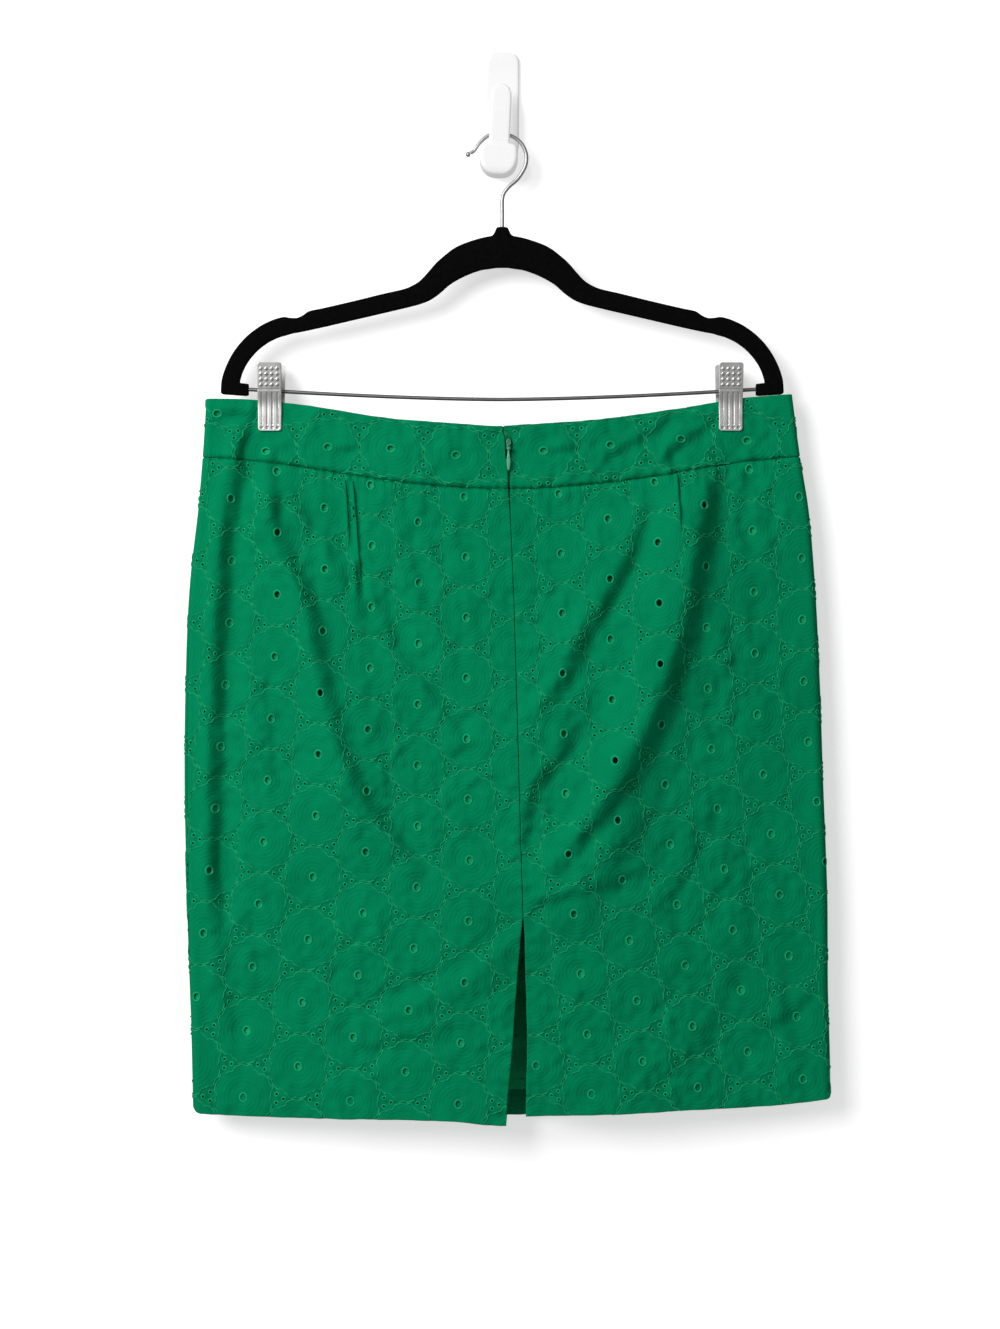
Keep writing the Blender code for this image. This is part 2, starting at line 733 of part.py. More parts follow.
def make_waistband():
    """The waistband's outer band, in three pieces of eyelet cotton."""
    half = mirrored(LACE_COLUMNS_HALF)
    left = Sheet(-1, TOP_BACK, WAIST_SEAM, LACE_COLUMNS_HALF, BAND_ROWS, right=opening_edge(-1, 0))
    right = Sheet(-1, TOP_BACK, WAIST_SEAM, half, BAND_ROWS, left=opening_edge(1, 0))
    front = Sheet(1, TOP_FRONT, WAIST_SEAM, LACE_COLUMNS_FRONT, BAND_ROWS_FRONT)
    on_back = band_places(BAND_EYELETS_BACK)
    on_front = band_places(BAND_EYELETS_FRONT)
    for name, sheet, places in (
        ("waistband_back_left", left, on_back),
        ("waistband_back_right", right, on_back),
        ("waistband_front", front, on_front),
    ):
        cut_eyelets(add_sheet(name, sheet, "lace", LACE), sheet, places)


def make_inside():
    """The plain inner waistband and the lining, which the eyelets show."""
    apart = 1.2 * MM
    for name, top, bottom, rows, clearance in (
        ("inner_band", TOP_BACK, WAIST_SEAM, BAND_ROWS, apart),
        ("lining", WAIST_SEAM, None, LINER_ROWS, LINING_BACK_FROM_SLIT),
    ):
        low_left = bottom or lining_line(HEM_BACK_LEFT)
        low_right = bottom or lining_line(HEM_BACK_RIGHT)
        low_front = bottom or lining_line(HEM_FRONT)
        front_top = TOP_FRONT if bottom else WAIST_SEAM
        front_rows = BAND_ROWS_FRONT if bottom else rows
        left = Sheet(-1, top, low_left, LINER_COLUMNS_HALF, rows, right=opening_edge(-1, clearance))
        right = Sheet(-1, top, low_right, mirrored(LINER_COLUMNS_HALF), rows, left=opening_edge(1, clearance))
        front = Sheet(1, front_top, low_front, LINER_COLUMNS_FRONT, front_rows)
        add_sheet(f"{name}_back_left", left, "liner", LINER, under_lace)
        add_sheet(f"{name}_back_right", right, "liner", LINER, under_lace)
        add_sheet(f"{name}_front", front, "liner", LINER, under_lace)


def make_zip_tapes():
    """The zip's two tapes, between the eyelet cotton and the lining."""
    line = {"x": np.array([-1.0, 1.0]), "height": np.array([ZIP_TOP, ZIP_TOP])}
    low = {"x": np.array([-1.0, 1.0]), "height": np.array([ZIP_LOW, ZIP_LOW])}
    shares = np.array([0.0, 1.0])
    for name, end in (("left", -1), ("right", 1)):
        inner = opening_edge(end, 0)
        outer = opening_edge(end, ZIP_TAPE_WIDTH)
        edges = (outer, inner) if end < 0 else (inner, outer)
        strip = Sheet(-1, line, low, shares, ZIP_ROWS, *edges)
        add_sheet(f"zip_tape_{name}", strip, "liner", ZIP_TAPE, just_under_lace)


def make_zip_slider():
    """The slider in the waistband's eye: a block, its base behind the tapes, two cheeks and a pin."""
    low = (SLIDER_X - SLIDER_WIDTH / 2, SLIDER_FRONT, SLIDER_LOW)
    high = (SLIDER_X + SLIDER_WIDTH / 2, SLIDER_BACK, SLIDER_TOP)
    slider = add_part("zip_slider", box_mesh("slider", low, high), "zip_metal")
    low = (SLIDER_X - SLIDER_BASE_WIDTH / 2, SLIDER_BASE_FRONT, SLIDER_LOW + TOUCHING)
    high = (SLIDER_X + SLIDER_BASE_WIDTH / 2, SLIDER_BACK + TOUCHING, SLIDER_TOP - TOUCHING)
    combine(slider, add_cutter("slider_base", box_mesh("slider_base", low, high)), "UNION")
    for end in (-1, 1):
        middle = SLIDER_X + end * (SLIDER_WIDTH - CHEEK) / 2 - end * TOUCHING / 2
        low = (middle - CHEEK / 2, PIN_Y - CHEEK_HEIGHT / 2, PIN_Z - CHEEK_HEIGHT / 2)
        high = (middle + CHEEK / 2, SLIDER_FRONT + CHEEK_HEIGHT / 2, PIN_Z + CHEEK_HEIGHT / 2)
        cheek = add_cutter(f"cheek_{'left' if end < 0 else 'right'}", box_mesh("cheek", low, high))
        combine(slider, cheek, "UNION")
    pin = rod_mesh("pin", (SLIDER_X, PIN_Y, PIN_Z), (1, 0, 0), PIN_RADIUS, SLIDER_WIDTH - CHEEK, SOCKET_SIDES)
    combine(slider, add_cutter("pin", pin), "UNION")


def make_zip_pull():
    """The pull tab: a drop-shaped plate with an eye round the slider's pin, hanging down."""
    outline_points = [(-w, d) for d, w in zip(PULL_OUTLINE["down"], PULL_OUTLINE["half_width"], strict=True)]
    outline_points += [(-w, d) for w, d in reversed(outline_points)]
    data = bpy.data.curves.new("zip_pull_plate", "CURVE")
    data.dimensions = "2D"
    data.fill_mode = "BOTH"
    data.extrude = PULL_THICK / 2
    line = data.splines.new("POLY")
    line.points.add(len(outline_points) - 1)
    for slot, (x, down) in zip(line.points, outline_points, strict=True):
        slot.co = (x, -down, 0, 1)
    line.use_cyclic_u = True
    plate = mesh_of_curve("zip_pull", data, Matrix.Rotation(math.pi / 2, 4, "X"))
    pull = add_part("zip_pull", plate, "zip_metal")
    pull.location = (SLIDER_X, PIN_Y, PIN_Z)
    eye = rod_mesh("pull_eye", (0, 0, 0), (1, 0, 0), PULL_EYE_OUTER, PULL_EYE_WIDTH, SOCKET_SIDES)
    bore = rod_mesh("pull_bore", (0, 0, 0), (1, 0, 0), PULL_EYE_INNER, 2 * PULL_EYE_WIDTH, SOCKET_SIDES)
    for mesh, operation in ((eye, "UNION"), (bore, "DIFFERENCE")):
        tool = add_cutter(mesh.name, mesh)
        tool.location = pull.location
        combine(pull, tool, operation)


def mesh_of_curve(name, data, place):
    """A curve's shape as a closed mesh with welded caps, moved by a matrix."""
    holder = bpy.data.objects.new(name, data)
    bpy.context.scene.collection.objects.link(holder)
    bpy.context.view_layer.update()
    mesh = bpy.data.meshes.new_from_object(holder.evaluated_get(bpy.context.evaluated_depsgraph_get()))
    bpy.data.objects.remove(holder, do_unlink=True)
    shape = bmesh.new()
    shape.from_mesh(mesh)
    bmesh.ops.remove_doubles(shape, verts=shape.verts, dist=1e-6)
    bmesh.ops.recalc_face_normals(shape, faces=shape.faces)
    shape.to_mesh(mesh)
    shape.free()
    mesh.transform(place)
    return mesh


# ---------------------------------------------------------------- the hanger


def bar_height(x):
    """Height of the bar's axis: it bows down between its ends."""
    return BAR_LOW + BAR_RISE * (abs(x) / BAR_HALF) ** BAR_BOW


def make_hanger_body():
    """The flat hanger with its neck, shoulders and feet, and sockets for the hook and the bar."""
    half = [(x * MM, z * MM, handle) for x, z, handle in HANGER_OUTLINE]
    under = (0.0, HANGER_UNDER_NECK * MM, "AUTO")
    points = half + [under] + [(-x, z, handle) for x, z, handle in reversed(half)]
    data = bpy.data.curves.new("hanger_outline", "CURVE")
    data.dimensions = "2D"
    data.fill_mode = "BOTH"
    data.extrude = HANGER_THICK / 2 - HANGER_EDGE
    data.bevel_depth = HANGER_EDGE
    data.bevel_resolution = 0
    data.offset = -HANGER_EDGE
    data.resolution_u = HANGER_CURVE_STEPS
    line = data.splines.new("BEZIER")
    line.bezier_points.add(len(points) - 1)
    for slot, (x, z, handle) in zip(line.bezier_points, points, strict=True):
        slot.co = (x, z, 0)
        slot.handle_left_type = handle
        slot.handle_right_type = handle
    line.use_cyclic_u = True
    place = Matrix.Translation((HANGER_MIDDLE, HANG_Y, 0)) @ Matrix.Rotation(math.pi / 2, 4, "X")
    hanger = add_part("hanger_body", mesh_of_curve("hanger_body", data, place), "velvet")
    top = HANGER_OUTLINE[0][1] * MM
    shape = bmesh.new()
    neck = (HOOK_WIRE["x"][0], HANG_Y, top)
    add_rod(shape, neck, (0, 0, 1), SOCKET_RADIUS, 2 * SOCKET_DEPTH, SOCKET_SIDES)
    for end in (-1, 1):
        foot = (end * BAR_HALF, HANG_Y, bar_height(BAR_HALF))
        add_rod(shape, foot, (1, 0, 0), SOCKET_RADIUS, 2 * SOCKET_DEPTH, SOCKET_SIDES)
    combine(hanger, add_cutter("hanger_sockets", mesh_from(shape, "hanger_sockets")), "DIFFERENCE")


def make_hanger_wires():
    """The hook, which swivels in the neck, with its bead, and the bar between the feet."""
    count = len(HOOK_WIRE["x"])
    knots = {"at": np.arange(count, dtype=float), **HOOK_WIRE}
    at = np.linspace(0, count - 1, (count - 1) * HOOK_WIRE_STEPS + 1)
    x = read(knots, "at", "x", at)
    z = read(knots, "at", "z", at)
    points = [(a, HANG_Y, b) for a, b in zip(x, z, strict=True)]
    wire("hanger_hook", points, WIRE_RADIUS, "steel")
    last = Vector(points[-1])
    away = (last - Vector(points[-2])).normalized()
    shape = bmesh.new()
    bmesh.ops.create_uvsphere(shape, u_segments=10, v_segments=6, radius=HOOK_TIP_RADIUS)
    tip = add_part("hook_tip", mesh_from(shape, "hook_tip"), "steel")
    tip.location = last + away * (HOOK_TIP_RADIUS + TOUCHING)
    reach = BAR_HALF + SOCKET_DEPTH - 2 * TOUCHING
    stations = [-reach, -BAR_HALF, -193 * MM, -184.5 * MM, -176 * MM, -140 * MM, -80 * MM, 0]
    stations += [80 * MM, 140 * MM, 174 * MM, 182.5 * MM, 191 * MM, BAR_HALF, reach]
    points = [(x, HANG_Y, bar_height(min(abs(x), BAR_HALF))) for x in stations]
    wire("trouser_bar", points, WIRE_RADIUS, "steel")


def jaw_plate(facing, shift):
    """A jaw's bent plate, as an open strip through its profile, wider at the top."""
    shape = bmesh.new()
    rows = []
    for height, out in zip(CLIP_PROFILE["height"], CLIP_PROFILE["out"], strict=True):
        share = (height - CLIP_PROFILE["height"][0]) / np.ptp(CLIP_PROFILE["height"])
        half = (CLIP_LOW_WIDTH + (CLIP_WIDTH - CLIP_LOW_WIDTH) * share) / 2
        y = HANG_Y + facing * out
        rows.append([shape.verts.new((shift + end * half, y, height)) for end in (-1, 1)])
    for low, high in zip(rows[:-1], rows[1:], strict=True):
        corners = [low[0], low[1], high[1], high[0]]
        shape.faces.new(corners if facing < 0 else corners[::-1])
    ends = rows[0] + rows[-1]
    bmesh.ops.bevel(shape, geom=ends, offset=CLIP_CORNER, segments=2, profile=0.5, affect="VERTICES")
    return mesh_from(shape, "jaw")


def make_clips():
    """Two spring clips that slide on the bar: two jaws with ears round the bar, and a spring."""
    for name, x in CLIP_X.items():
        to_middle = -1 if x > 0 else 1
        for jaw, facing in (("front", -1), ("back", 1)):
            shift = 0 if jaw == "front" else to_middle * BACK_JAW_SHIFT
            part = add_part(f"clip_{name}_{jaw}_jaw", jaw_plate(facing, x + shift), "steel")
            thicken = part.modifiers.new("plate", "SOLIDIFY")
            thicken.thickness = CLIP_PLATE
            thicken.offset = 1
            for end in (-1, 1):
                ear_x = x + end * EAR_OFFSET[jaw]
                axis_height = bar_height(ear_x)
                label = f"{part.name}_ear_{'left' if end < 0 else 'right'}"
                out = HANG_Y + facing * (np.interp(axis_height, *CLIP_PROFILE.values()) + CLIP_PLATE / 2)
                low = (ear_x - EAR / 2, min(HANG_Y, out), axis_height - EAR_RADIUS * 0.8)
                high = (ear_x + EAR / 2, max(HANG_Y, out), axis_height + EAR_RADIUS * 0.8)
                combine(part, add_cutter(f"{label}_web", box_mesh("web", low, high)), "UNION")
                centre = (ear_x, HANG_Y, axis_height)
                disc = rod_mesh("disc", centre, (1, 0, 0), EAR_RADIUS, EAR, SOCKET_SIDES)
                combine(part, add_cutter(f"{label}_disc", disc), "UNION")
                bore = rod_mesh("bore", centre, (1, 0, 0), SOCKET_RADIUS, 3 * EAR, SOCKET_SIDES)
                combine(part, add_cutter(f"{label}_bore", bore), "DIFFERENCE")
        slope = (bar_height(x + SPRING_HALF) - bar_height(x - SPRING_HALF)) / (2 * SPRING_HALF)
        axis = (1, 0, slope)
        centre = (x, HANG_Y, bar_height(x))
        spring = rod_mesh("spring", centre, axis, SPRING_RADIUS, 2 * SPRING_HALF, SOCKET_SIDES)
        part = add_part(f"clip_{name}_spring", spring, "steel")
        bore = rod_mesh("bore", centre, axis, SOCKET_RADIUS, 3 * SPRING_HALF, SOCKET_SIDES)
        combine(part, add_cutter(f"clip_{name}_spring_bore", bore), "DIFFERENCE")


# ---------------------------------------------------------------- the wall hook


def slab(name, corners, front, back, radius):
    """An upright slab between two depths, from an outline in x and z whose corners are rounded."""
    shape = bmesh.new()
    points = [shape.verts.new((x, back, z)) for x, z in corners]
    shape.faces.new(points)
    bmesh.ops.bevel(shape, geom=points, offset=radius, segments=4, profile=0.5, affect="VERTICES")
    grown = bmesh.ops.extrude_face_region(shape, geom=shape.faces[:])
    moved = [item for item in grown["geom"] if isinstance(item, bmesh.types.BMVert)]
    bmesh.ops.translate(shape, verts=moved, vec=(0, front - back, 0))
    bmesh.ops.recalc_face_normals(shape, faces=shape.faces)
    return mesh_from(shape, name)


def make_wall_hook():
    """The stick-on hook: its plate on the wall, the saddle that carries the wire, a lip and a tongue."""
    corners = [
        (-PLATE_TOP_HALF, PLATE_TOP),
        (PLATE_TOP_HALF, PLATE_TOP),
        (PLATE_LOW_HALF, PLATE_LOW),
        (-PLATE_LOW_HALF, PLATE_LOW),
    ]
    hook = add_part("wall_hook", slab("plate", corners, -PLATE_DEPTH, 0, PLATE_CORNER), "plastic")
    corners = [(-LIP_HALF, LIP_TOP), (LIP_HALF, LIP_TOP), (LIP_HALF, LIP_LOW), (-LIP_HALF, LIP_LOW)]
    lip = slab("lip", corners, TONGUE_FRONT, -PLATE_DEPTH / 2, LIP_CORNER)
    low = (SADDLE_MIDDLE - SADDLE_HALF, TONGUE_FRONT + HOOK_EDGE, LIP_TOP - LIP_CORNER)
    high = (SADDLE_MIDDLE + SADDLE_HALF, -PLATE_DEPTH / 2, SADDLE_TOP)
    saddle = box_mesh("saddle", low, high)
    corners = [
        (-TONGUE_HALF, TONGUE_TOP),
        (TONGUE_HALF, TONGUE_TOP),
        (TONGUE_HALF, LIP_TOP - LIP_CORNER),
        (-TONGUE_HALF, LIP_TOP - LIP_CORNER),
    ]
    tongue = slab("tongue", corners, TONGUE_FRONT + HOOK_EDGE / 2, TONGUE_BACK, PLATE_CORNER)
    for mesh in (lip, saddle, tongue):
        tool = add_cutter(f"wall_hook_{mesh.name}", mesh)
        tool.rotation_euler.y = HOOK_TILT
        combine(hook, tool, "UNION")
    hook.rotation_euler.y = HOOK_TILT


clear_scene()
make_shell()
make_waistband()
make_inside()
make_zip_tapes()
make_zip_slider()
make_zip_pull()
make_hanger_body()
make_hanger_wires()
make_clips()
make_wall_hook()
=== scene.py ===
"""A pencil skirt of green eyelet cotton on a clip hanger, which hangs on a white stick-on wall hook.

The wall is the plane y = 0, +Z is up, and the skirt's back, with its zip and slit, faces -Y. The frame's CAD
nodes give every place. Heights are z values in metres, and tables are in millimetres.
"""

import math

import bpy
import numpy as np
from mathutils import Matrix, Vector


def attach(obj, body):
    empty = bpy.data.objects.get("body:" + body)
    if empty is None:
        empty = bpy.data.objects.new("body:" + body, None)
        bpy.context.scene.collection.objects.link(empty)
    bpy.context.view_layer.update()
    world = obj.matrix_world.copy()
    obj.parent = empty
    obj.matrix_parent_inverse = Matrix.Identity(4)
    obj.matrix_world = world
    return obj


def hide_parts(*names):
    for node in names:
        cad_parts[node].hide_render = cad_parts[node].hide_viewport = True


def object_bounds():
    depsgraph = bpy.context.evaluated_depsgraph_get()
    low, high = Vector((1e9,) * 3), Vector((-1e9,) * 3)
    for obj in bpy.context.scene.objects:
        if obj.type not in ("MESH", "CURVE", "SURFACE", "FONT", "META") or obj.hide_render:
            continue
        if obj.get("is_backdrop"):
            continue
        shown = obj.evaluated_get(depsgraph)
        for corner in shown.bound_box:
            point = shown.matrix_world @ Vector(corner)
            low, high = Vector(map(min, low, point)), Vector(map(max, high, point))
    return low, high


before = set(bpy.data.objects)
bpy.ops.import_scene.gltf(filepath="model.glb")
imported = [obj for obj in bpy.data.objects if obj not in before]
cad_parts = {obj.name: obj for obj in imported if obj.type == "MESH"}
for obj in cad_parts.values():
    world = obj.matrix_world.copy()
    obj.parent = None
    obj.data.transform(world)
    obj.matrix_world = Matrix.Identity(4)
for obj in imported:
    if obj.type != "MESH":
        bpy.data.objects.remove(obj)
cad_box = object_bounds()


# ================================================================ the room
# A plain white wall, which carries the hook, in the light of one broad lamp at the upper left and of a pale
# room. The wall shows from the front alone, so that the skirt can be looked at from behind as well.

MM = 0.001
WALL_REACH = 2.5
LAMP_PLACE = (-1.7, -2.0, 0.75)
LAMP_SIZE = 2.0
LAMP_POWER = 87.0
CARD_PLACE = (0.2, -2.9, 0.9)
CARD_SIZE = 2.6
CARD_POWER = 6.5
ROOM_LIGHT = 0.28
CAMERA_PLACE = (-0.0012, -2.336, -0.4573)
VIEW_WIDTH = math.radians(19.54)
AIM = (0.0, -0.03, -0.45)


class Field:
    """A value that varies over a surface. Arithmetic on it adds the Math nodes that work it out."""

    def __init__(self, paint, socket):
        self.paint = paint
        self.socket = socket

    def __add__(self, other):
        return self.paint.math("ADD", self, other)

    def __sub__(self, other):
        return self.paint.math("SUBTRACT", self, other)

    def __rsub__(self, other):
        return self.paint.math("SUBTRACT", other, self)

    def __mul__(self, other):
        return self.paint.math("MULTIPLY", self, other)

    def __truediv__(self, other):
        return self.paint.math("DIVIDE", self, other)

    def __abs__(self):
        return self.paint.math("ABSOLUTE", self)

    __radd__ = __add__
    __rmul__ = __mul__


class Paint:
    """A material in the making. Any node comes from node(), and feed() gives sockets values or links."""

    def __init__(self, name, **sockets):
        self.made = bpy.data.materials.new(name)
        self.made.use_nodes = True
        self.tree = self.made.node_tree
        self.shader = self.tree.nodes["Principled BSDF"]
        self.shade(**sockets)

    def shade(self, **sockets):
        """Values or links for the main shader, whose sockets are named with _ in place of spaces."""
        self.feed(self.shader, {key.replace("_", " "): value for key, value in sockets.items()})

    def feed(self, node, sockets):
        for key, value in sockets.items():
            if isinstance(value, Field):
                self.tree.links.new(value.socket, node.inputs[key])
            else:
                node.inputs[key].default_value = value

    def node(self, kind, settings, sockets, output=0):
        made = self.tree.nodes.new("ShaderNode" + kind)
        for key, value in settings.items():
            setattr(made, key, value)
        self.feed(made, sockets)
        return Field(self, made.outputs[output])

    def math(self, operation, *values):
        return self.node("Math", {"operation": operation}, dict(enumerate(values)))

    def mix(self, share, first, second):
        """A colour between two, by a share from 0 to 1."""
        return self.node("Mix", {"data_type": "RGBA"}, {0: share, 6: first, 7: second}, 2)

    def object_place(self):
        return self.node("TexCoord", {}, {}, "Object")

    def noise(self, place, scale, detail=2.0):
        """Smooth noise from 0 to 1 with this many blobs a metre."""
        return self.node("TexNoise", {}, {"Vector": place, "Scale": scale, "Detail": detail})

    def parts(self, vector):
        """The three parts of a vector."""
        split = self.tree.nodes.new("ShaderNodeSeparateXYZ")
        self.feed(split, {0: vector})
        return [Field(self, socket) for socket in split.outputs]

    def bump(self, height, strength=1.0):
        """Relief whose height is in millimetres."""
        normal = self.node("Bump", {}, {"Strength": strength, "Distance": MM, "Height": height})
        self.shade(Normal=normal)


def add_piece(name, points, faces, paint, uv=None, sharp=None):
    """A mesh with its place in its vertices, from an array of points and lists of corner numbers."""
    mesh = bpy.data.meshes.new(name)
    lists = [part.tolist() if isinstance(part, np.ndarray) else part for part in faces]
    mesh.from_pydata(points.reshape(-1, 3).tolist(), [], [face for part in lists for face in part])
    if uv is not None:
        corners = np.empty(len(mesh.loops), dtype=np.int32)
        mesh.loops.foreach_get("vertex_index", corners)
        layer = mesh.uv_layers.new(name="cloth")
        layer.data.foreach_set("uv", uv.reshape(-1, 2)[corners].astype(np.float32).ravel())
    mesh.shade_smooth()
    if sharp is not None:
        mesh.set_sharp_from_angle(angle=math.radians(sharp))
    mesh.materials.append(paint.made)
    piece = bpy.data.objects.new(name, mesh)
    bpy.context.scene.collection.objects.link(piece)
    return piece


wall_paint = Paint(
    "matt_wall",
    Base_Color=(0.8, 0.8, 0.8, 1),
    Roughness=0.95,
    Specular_IOR_Level=0.1,
    Emission_Color=(1, 1, 1, 1),
    Emission_Strength=0.53,
)
clear = wall_paint.node("BsdfTransparent", {}, {})
behind = wall_paint.node("NewGeometry", {}, {}, "Backfacing")
matt = Field(wall_paint, wall_paint.shader.outputs[0])
shown = wall_paint.node("MixShader", {}, {0: behind, 1: matt, 2: clear})
wall_paint.feed(wall_paint.tree.nodes["Material Output"], {0: shown})
corners = np.array([(-1, 0, -1), (1, 0, -1), (1, 0, 1), (-1, 0, 1)]) * WALL_REACH
wall = add_piece("wall", corners, [[(0, 1, 2, 3)]], wall_paint)
for kind in ("diffuse", "glossy", "transmission", "shadow"):
    setattr(wall, f"visible_{kind}", False)
wall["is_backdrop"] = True

for name, place, size, power in (
    ("lamp", LAMP_PLACE, LAMP_SIZE, LAMP_POWER),
    ("card", CARD_PLACE, CARD_SIZE, CARD_POWER),
):
    lamp = bpy.data.objects.new(name, bpy.data.lights.new(name, "AREA"))
    lamp.data.shape = "DISK"
    lamp.data.size = size
    lamp.data.energy = power
    lamp.location = place
    away = lamp.location - type(lamp.location)(AIM)
    lamp.rotation_euler = away.to_track_quat("Z", "Y").to_euler()
    lamp.visible_diffuse = name == "lamp"  # the card behind the camera is there for the metal to mirror
    bpy.context.scene.collection.objects.link(lamp)

world = bpy.data.worlds.new("pale_room")
world.use_nodes = True
sky = world.node_tree.nodes["Background"].inputs
sky["Color"].default_value = (1, 1, 1, 1)
sky["Strength"].default_value = ROOM_LIGHT
bpy.context.scene.world = world
bpy.context.scene.view_settings.view_transform = "Standard"

camera = bpy.data.objects.new("camera", bpy.data.cameras.new("camera"))
camera.data.sensor_fit = "HORIZONTAL"
camera.data.angle = VIEW_WIDTH
camera.location = CAMERA_PLACE
camera.rotation_euler = (math.pi / 2, 0, 0)
bpy.context.scene.collection.objects.link(camera)
bpy.context.scene.camera = camera


# ================================================================ the lining
# A plain green lining, cut in a front and two back halves, sewn into the waist seam. It hangs free and ends
# above the hem. Every layer of the skirt is a sheet of the same hanging form, which is worked out here.


def table(columns, rows):
    """A table of sizes in mm as named columns in metres."""
    values = MM * np.array(rows, dtype=float)
    return {name: values[:, number] for number, name in enumerate(columns)}


def curve(rows):
    return table(("x", "height"), rows)


# silhouette, side folds, how far back and front stand off the middle plane, that plane, and how far the side
# seams are turned to the right
OUTLINE = table(
    ("height", "left", "right", "fold_radius", "back", "front", "middle", "seam_turn"),
    [
        (-826, -245.5, 262.3, 6.5, 21.0, 14.0, -24.0, 0.0),
        (-772, -246.6, 261.7, 6.5, 21.0, 14.0, -24.0, 0.0),
        (-715, -248.4, 260.0, 6.5, 20.5, 13.5, -23.5, 1.5),
        (-645, -250.6, 259.6, 6.5, 20.0, 13.5, -23.0, 4.0),
        (-549, -252.6, 256.2, 6.5, 18.5, 13.0, -22.5, 5.5),
        (-470, -251.8, 253.6, 6.5, 17.0, 12.5, -22.0, 5.0),
        (-390, -248.2, 249.6, 6.0, 14.0, 11.0, -21.5, 2.5),
        (-330, -241.8, 244.4, 5.5, 10.5, 9.0, -21.0, 0.5),
        (-292, -238.6, 238.4, 5.0, 8.5, 7.5, -20.5, 0.0),
        (-240, -235.3, 231.6, 4.8, 7.5, 7.0, -20.5, 0.0),
    ],
)
WAIST_SEAM = curve(
    [
        (-238, -292.4), (-199, -294.8), (-138, -303.6), (-81, -312.3), (6, -317.9), (78, -313.4), (140, -304.9),
        (175, -298.3), (238, -291.6),
    ]
)  # fmt: skip
LEFT_CORNER = [
    (-249.2, -807.4), (-247.3, -809.0), (-245.6, -810.6), (-243.3, -812.6), (-240.5, -813.9), (-236, -814.3),
]  # fmt: skip
RIGHT_CORNER = [(255, -803.2), (260.4, -802.4), (262.6, -801.5), (266, -799.6)]
HEMS = {
    "front": curve([*LEFT_CORNER, (-120, -817.0), (0, -818.0), (110, -812.6), (190, -808.0), *RIGHT_CORNER]),
    "back_left": curve(
        [*LEFT_CORNER, (-191, -816.0), (-64, -817.6), (-33, -818.5), (-14, -820.8), (4, -821.6)],
    ),
    "back_right": curve([(18, -814.0), (78, -813.3), (141, -810.4), (220, -807.0), *RIGHT_CORNER]),
}
# edges of the two back halves: an eye round the zip's slider, a closed seam, and the slit over the hem
BACK_OPENING = table(
    ("height", "left", "right"),
    [
        (-826.0, 3.6, 18.9), (-799.0, 4.9, 19.2), (-760.0, 8.6, 20.4), (-712.0, 12.0, 19.2), (-692.0, 13.6, 18.6),
        (-672.0, 15.3, 18.3), (-657.0, 16.9, 17.2), (-517.0, 12.9, 13.2), (-400.0, 9.6, 9.9), (-344.0, 7.2, 7.5),
        (-318.0, 5.4, 6.6), (-303.0, 4.9, 7.2), (-290.0, 3.2, 8.3), (-277.0, 2.6, 8.4), (-272.5, 1.3, 3.4),
        (-266.0, 0.3, 0.8),
    ],
)  # fmt: skip
# the large folds: x and height of the top and of the low end, bow, how far it stands out, and its reach
FOLDS = {
    -1: MM * np.array([
        (-192, -306, -112, -590, 4, 9.0, 24),
        (152, -303, 60, -640, 12, 13.5, 26),
        (90, -330, 14, -560, 4, 4.5, 22),
    ]),
    1: MM * np.array([(-165, -300, -70, -590, -6, 5.0, 26), (160, -300, 90, -640, 5, 5.5, 26)]),
}  # fmt: skip
FOLD_FADE = 45 * MM
FULLNESS_ROUND = 2.5
EDGE_SQUARE = 24
CLIP_X = {"left": -184.5 * MM, "right": 182.5 * MM}
CLIP_LOW = -271 * MM
CLAMPED_HALF = 3.0 * MM
LEAST_HALF = 1.3 * MM
LEAST_ROUND = 0.5 * MM
PINCH_REACH = 26 * MM
CLAMP_REACH = 12 * MM
PINCH_FADE = 90 * MM
CLAMP_FADE = 12 * MM
SEAM = 0.3 * MM
DITCH_DEEP, DITCH_HALF = 1.6, 2.1  # the waist seam, in mm
WAIST_RIPPLE, WAIST_STEP, WAIST_SWAY, WAIST_SWING = 0.45, 7.3, 19, 23
RIPPLES_OVER, RIPPLES_UNDER = 8.0, 3.0
SEAM_RIPPLE, SEAM_STEP, SEAM_SWAY, SEAM_REACH = 0.4, 12.5, 31, 9  # the middle seam

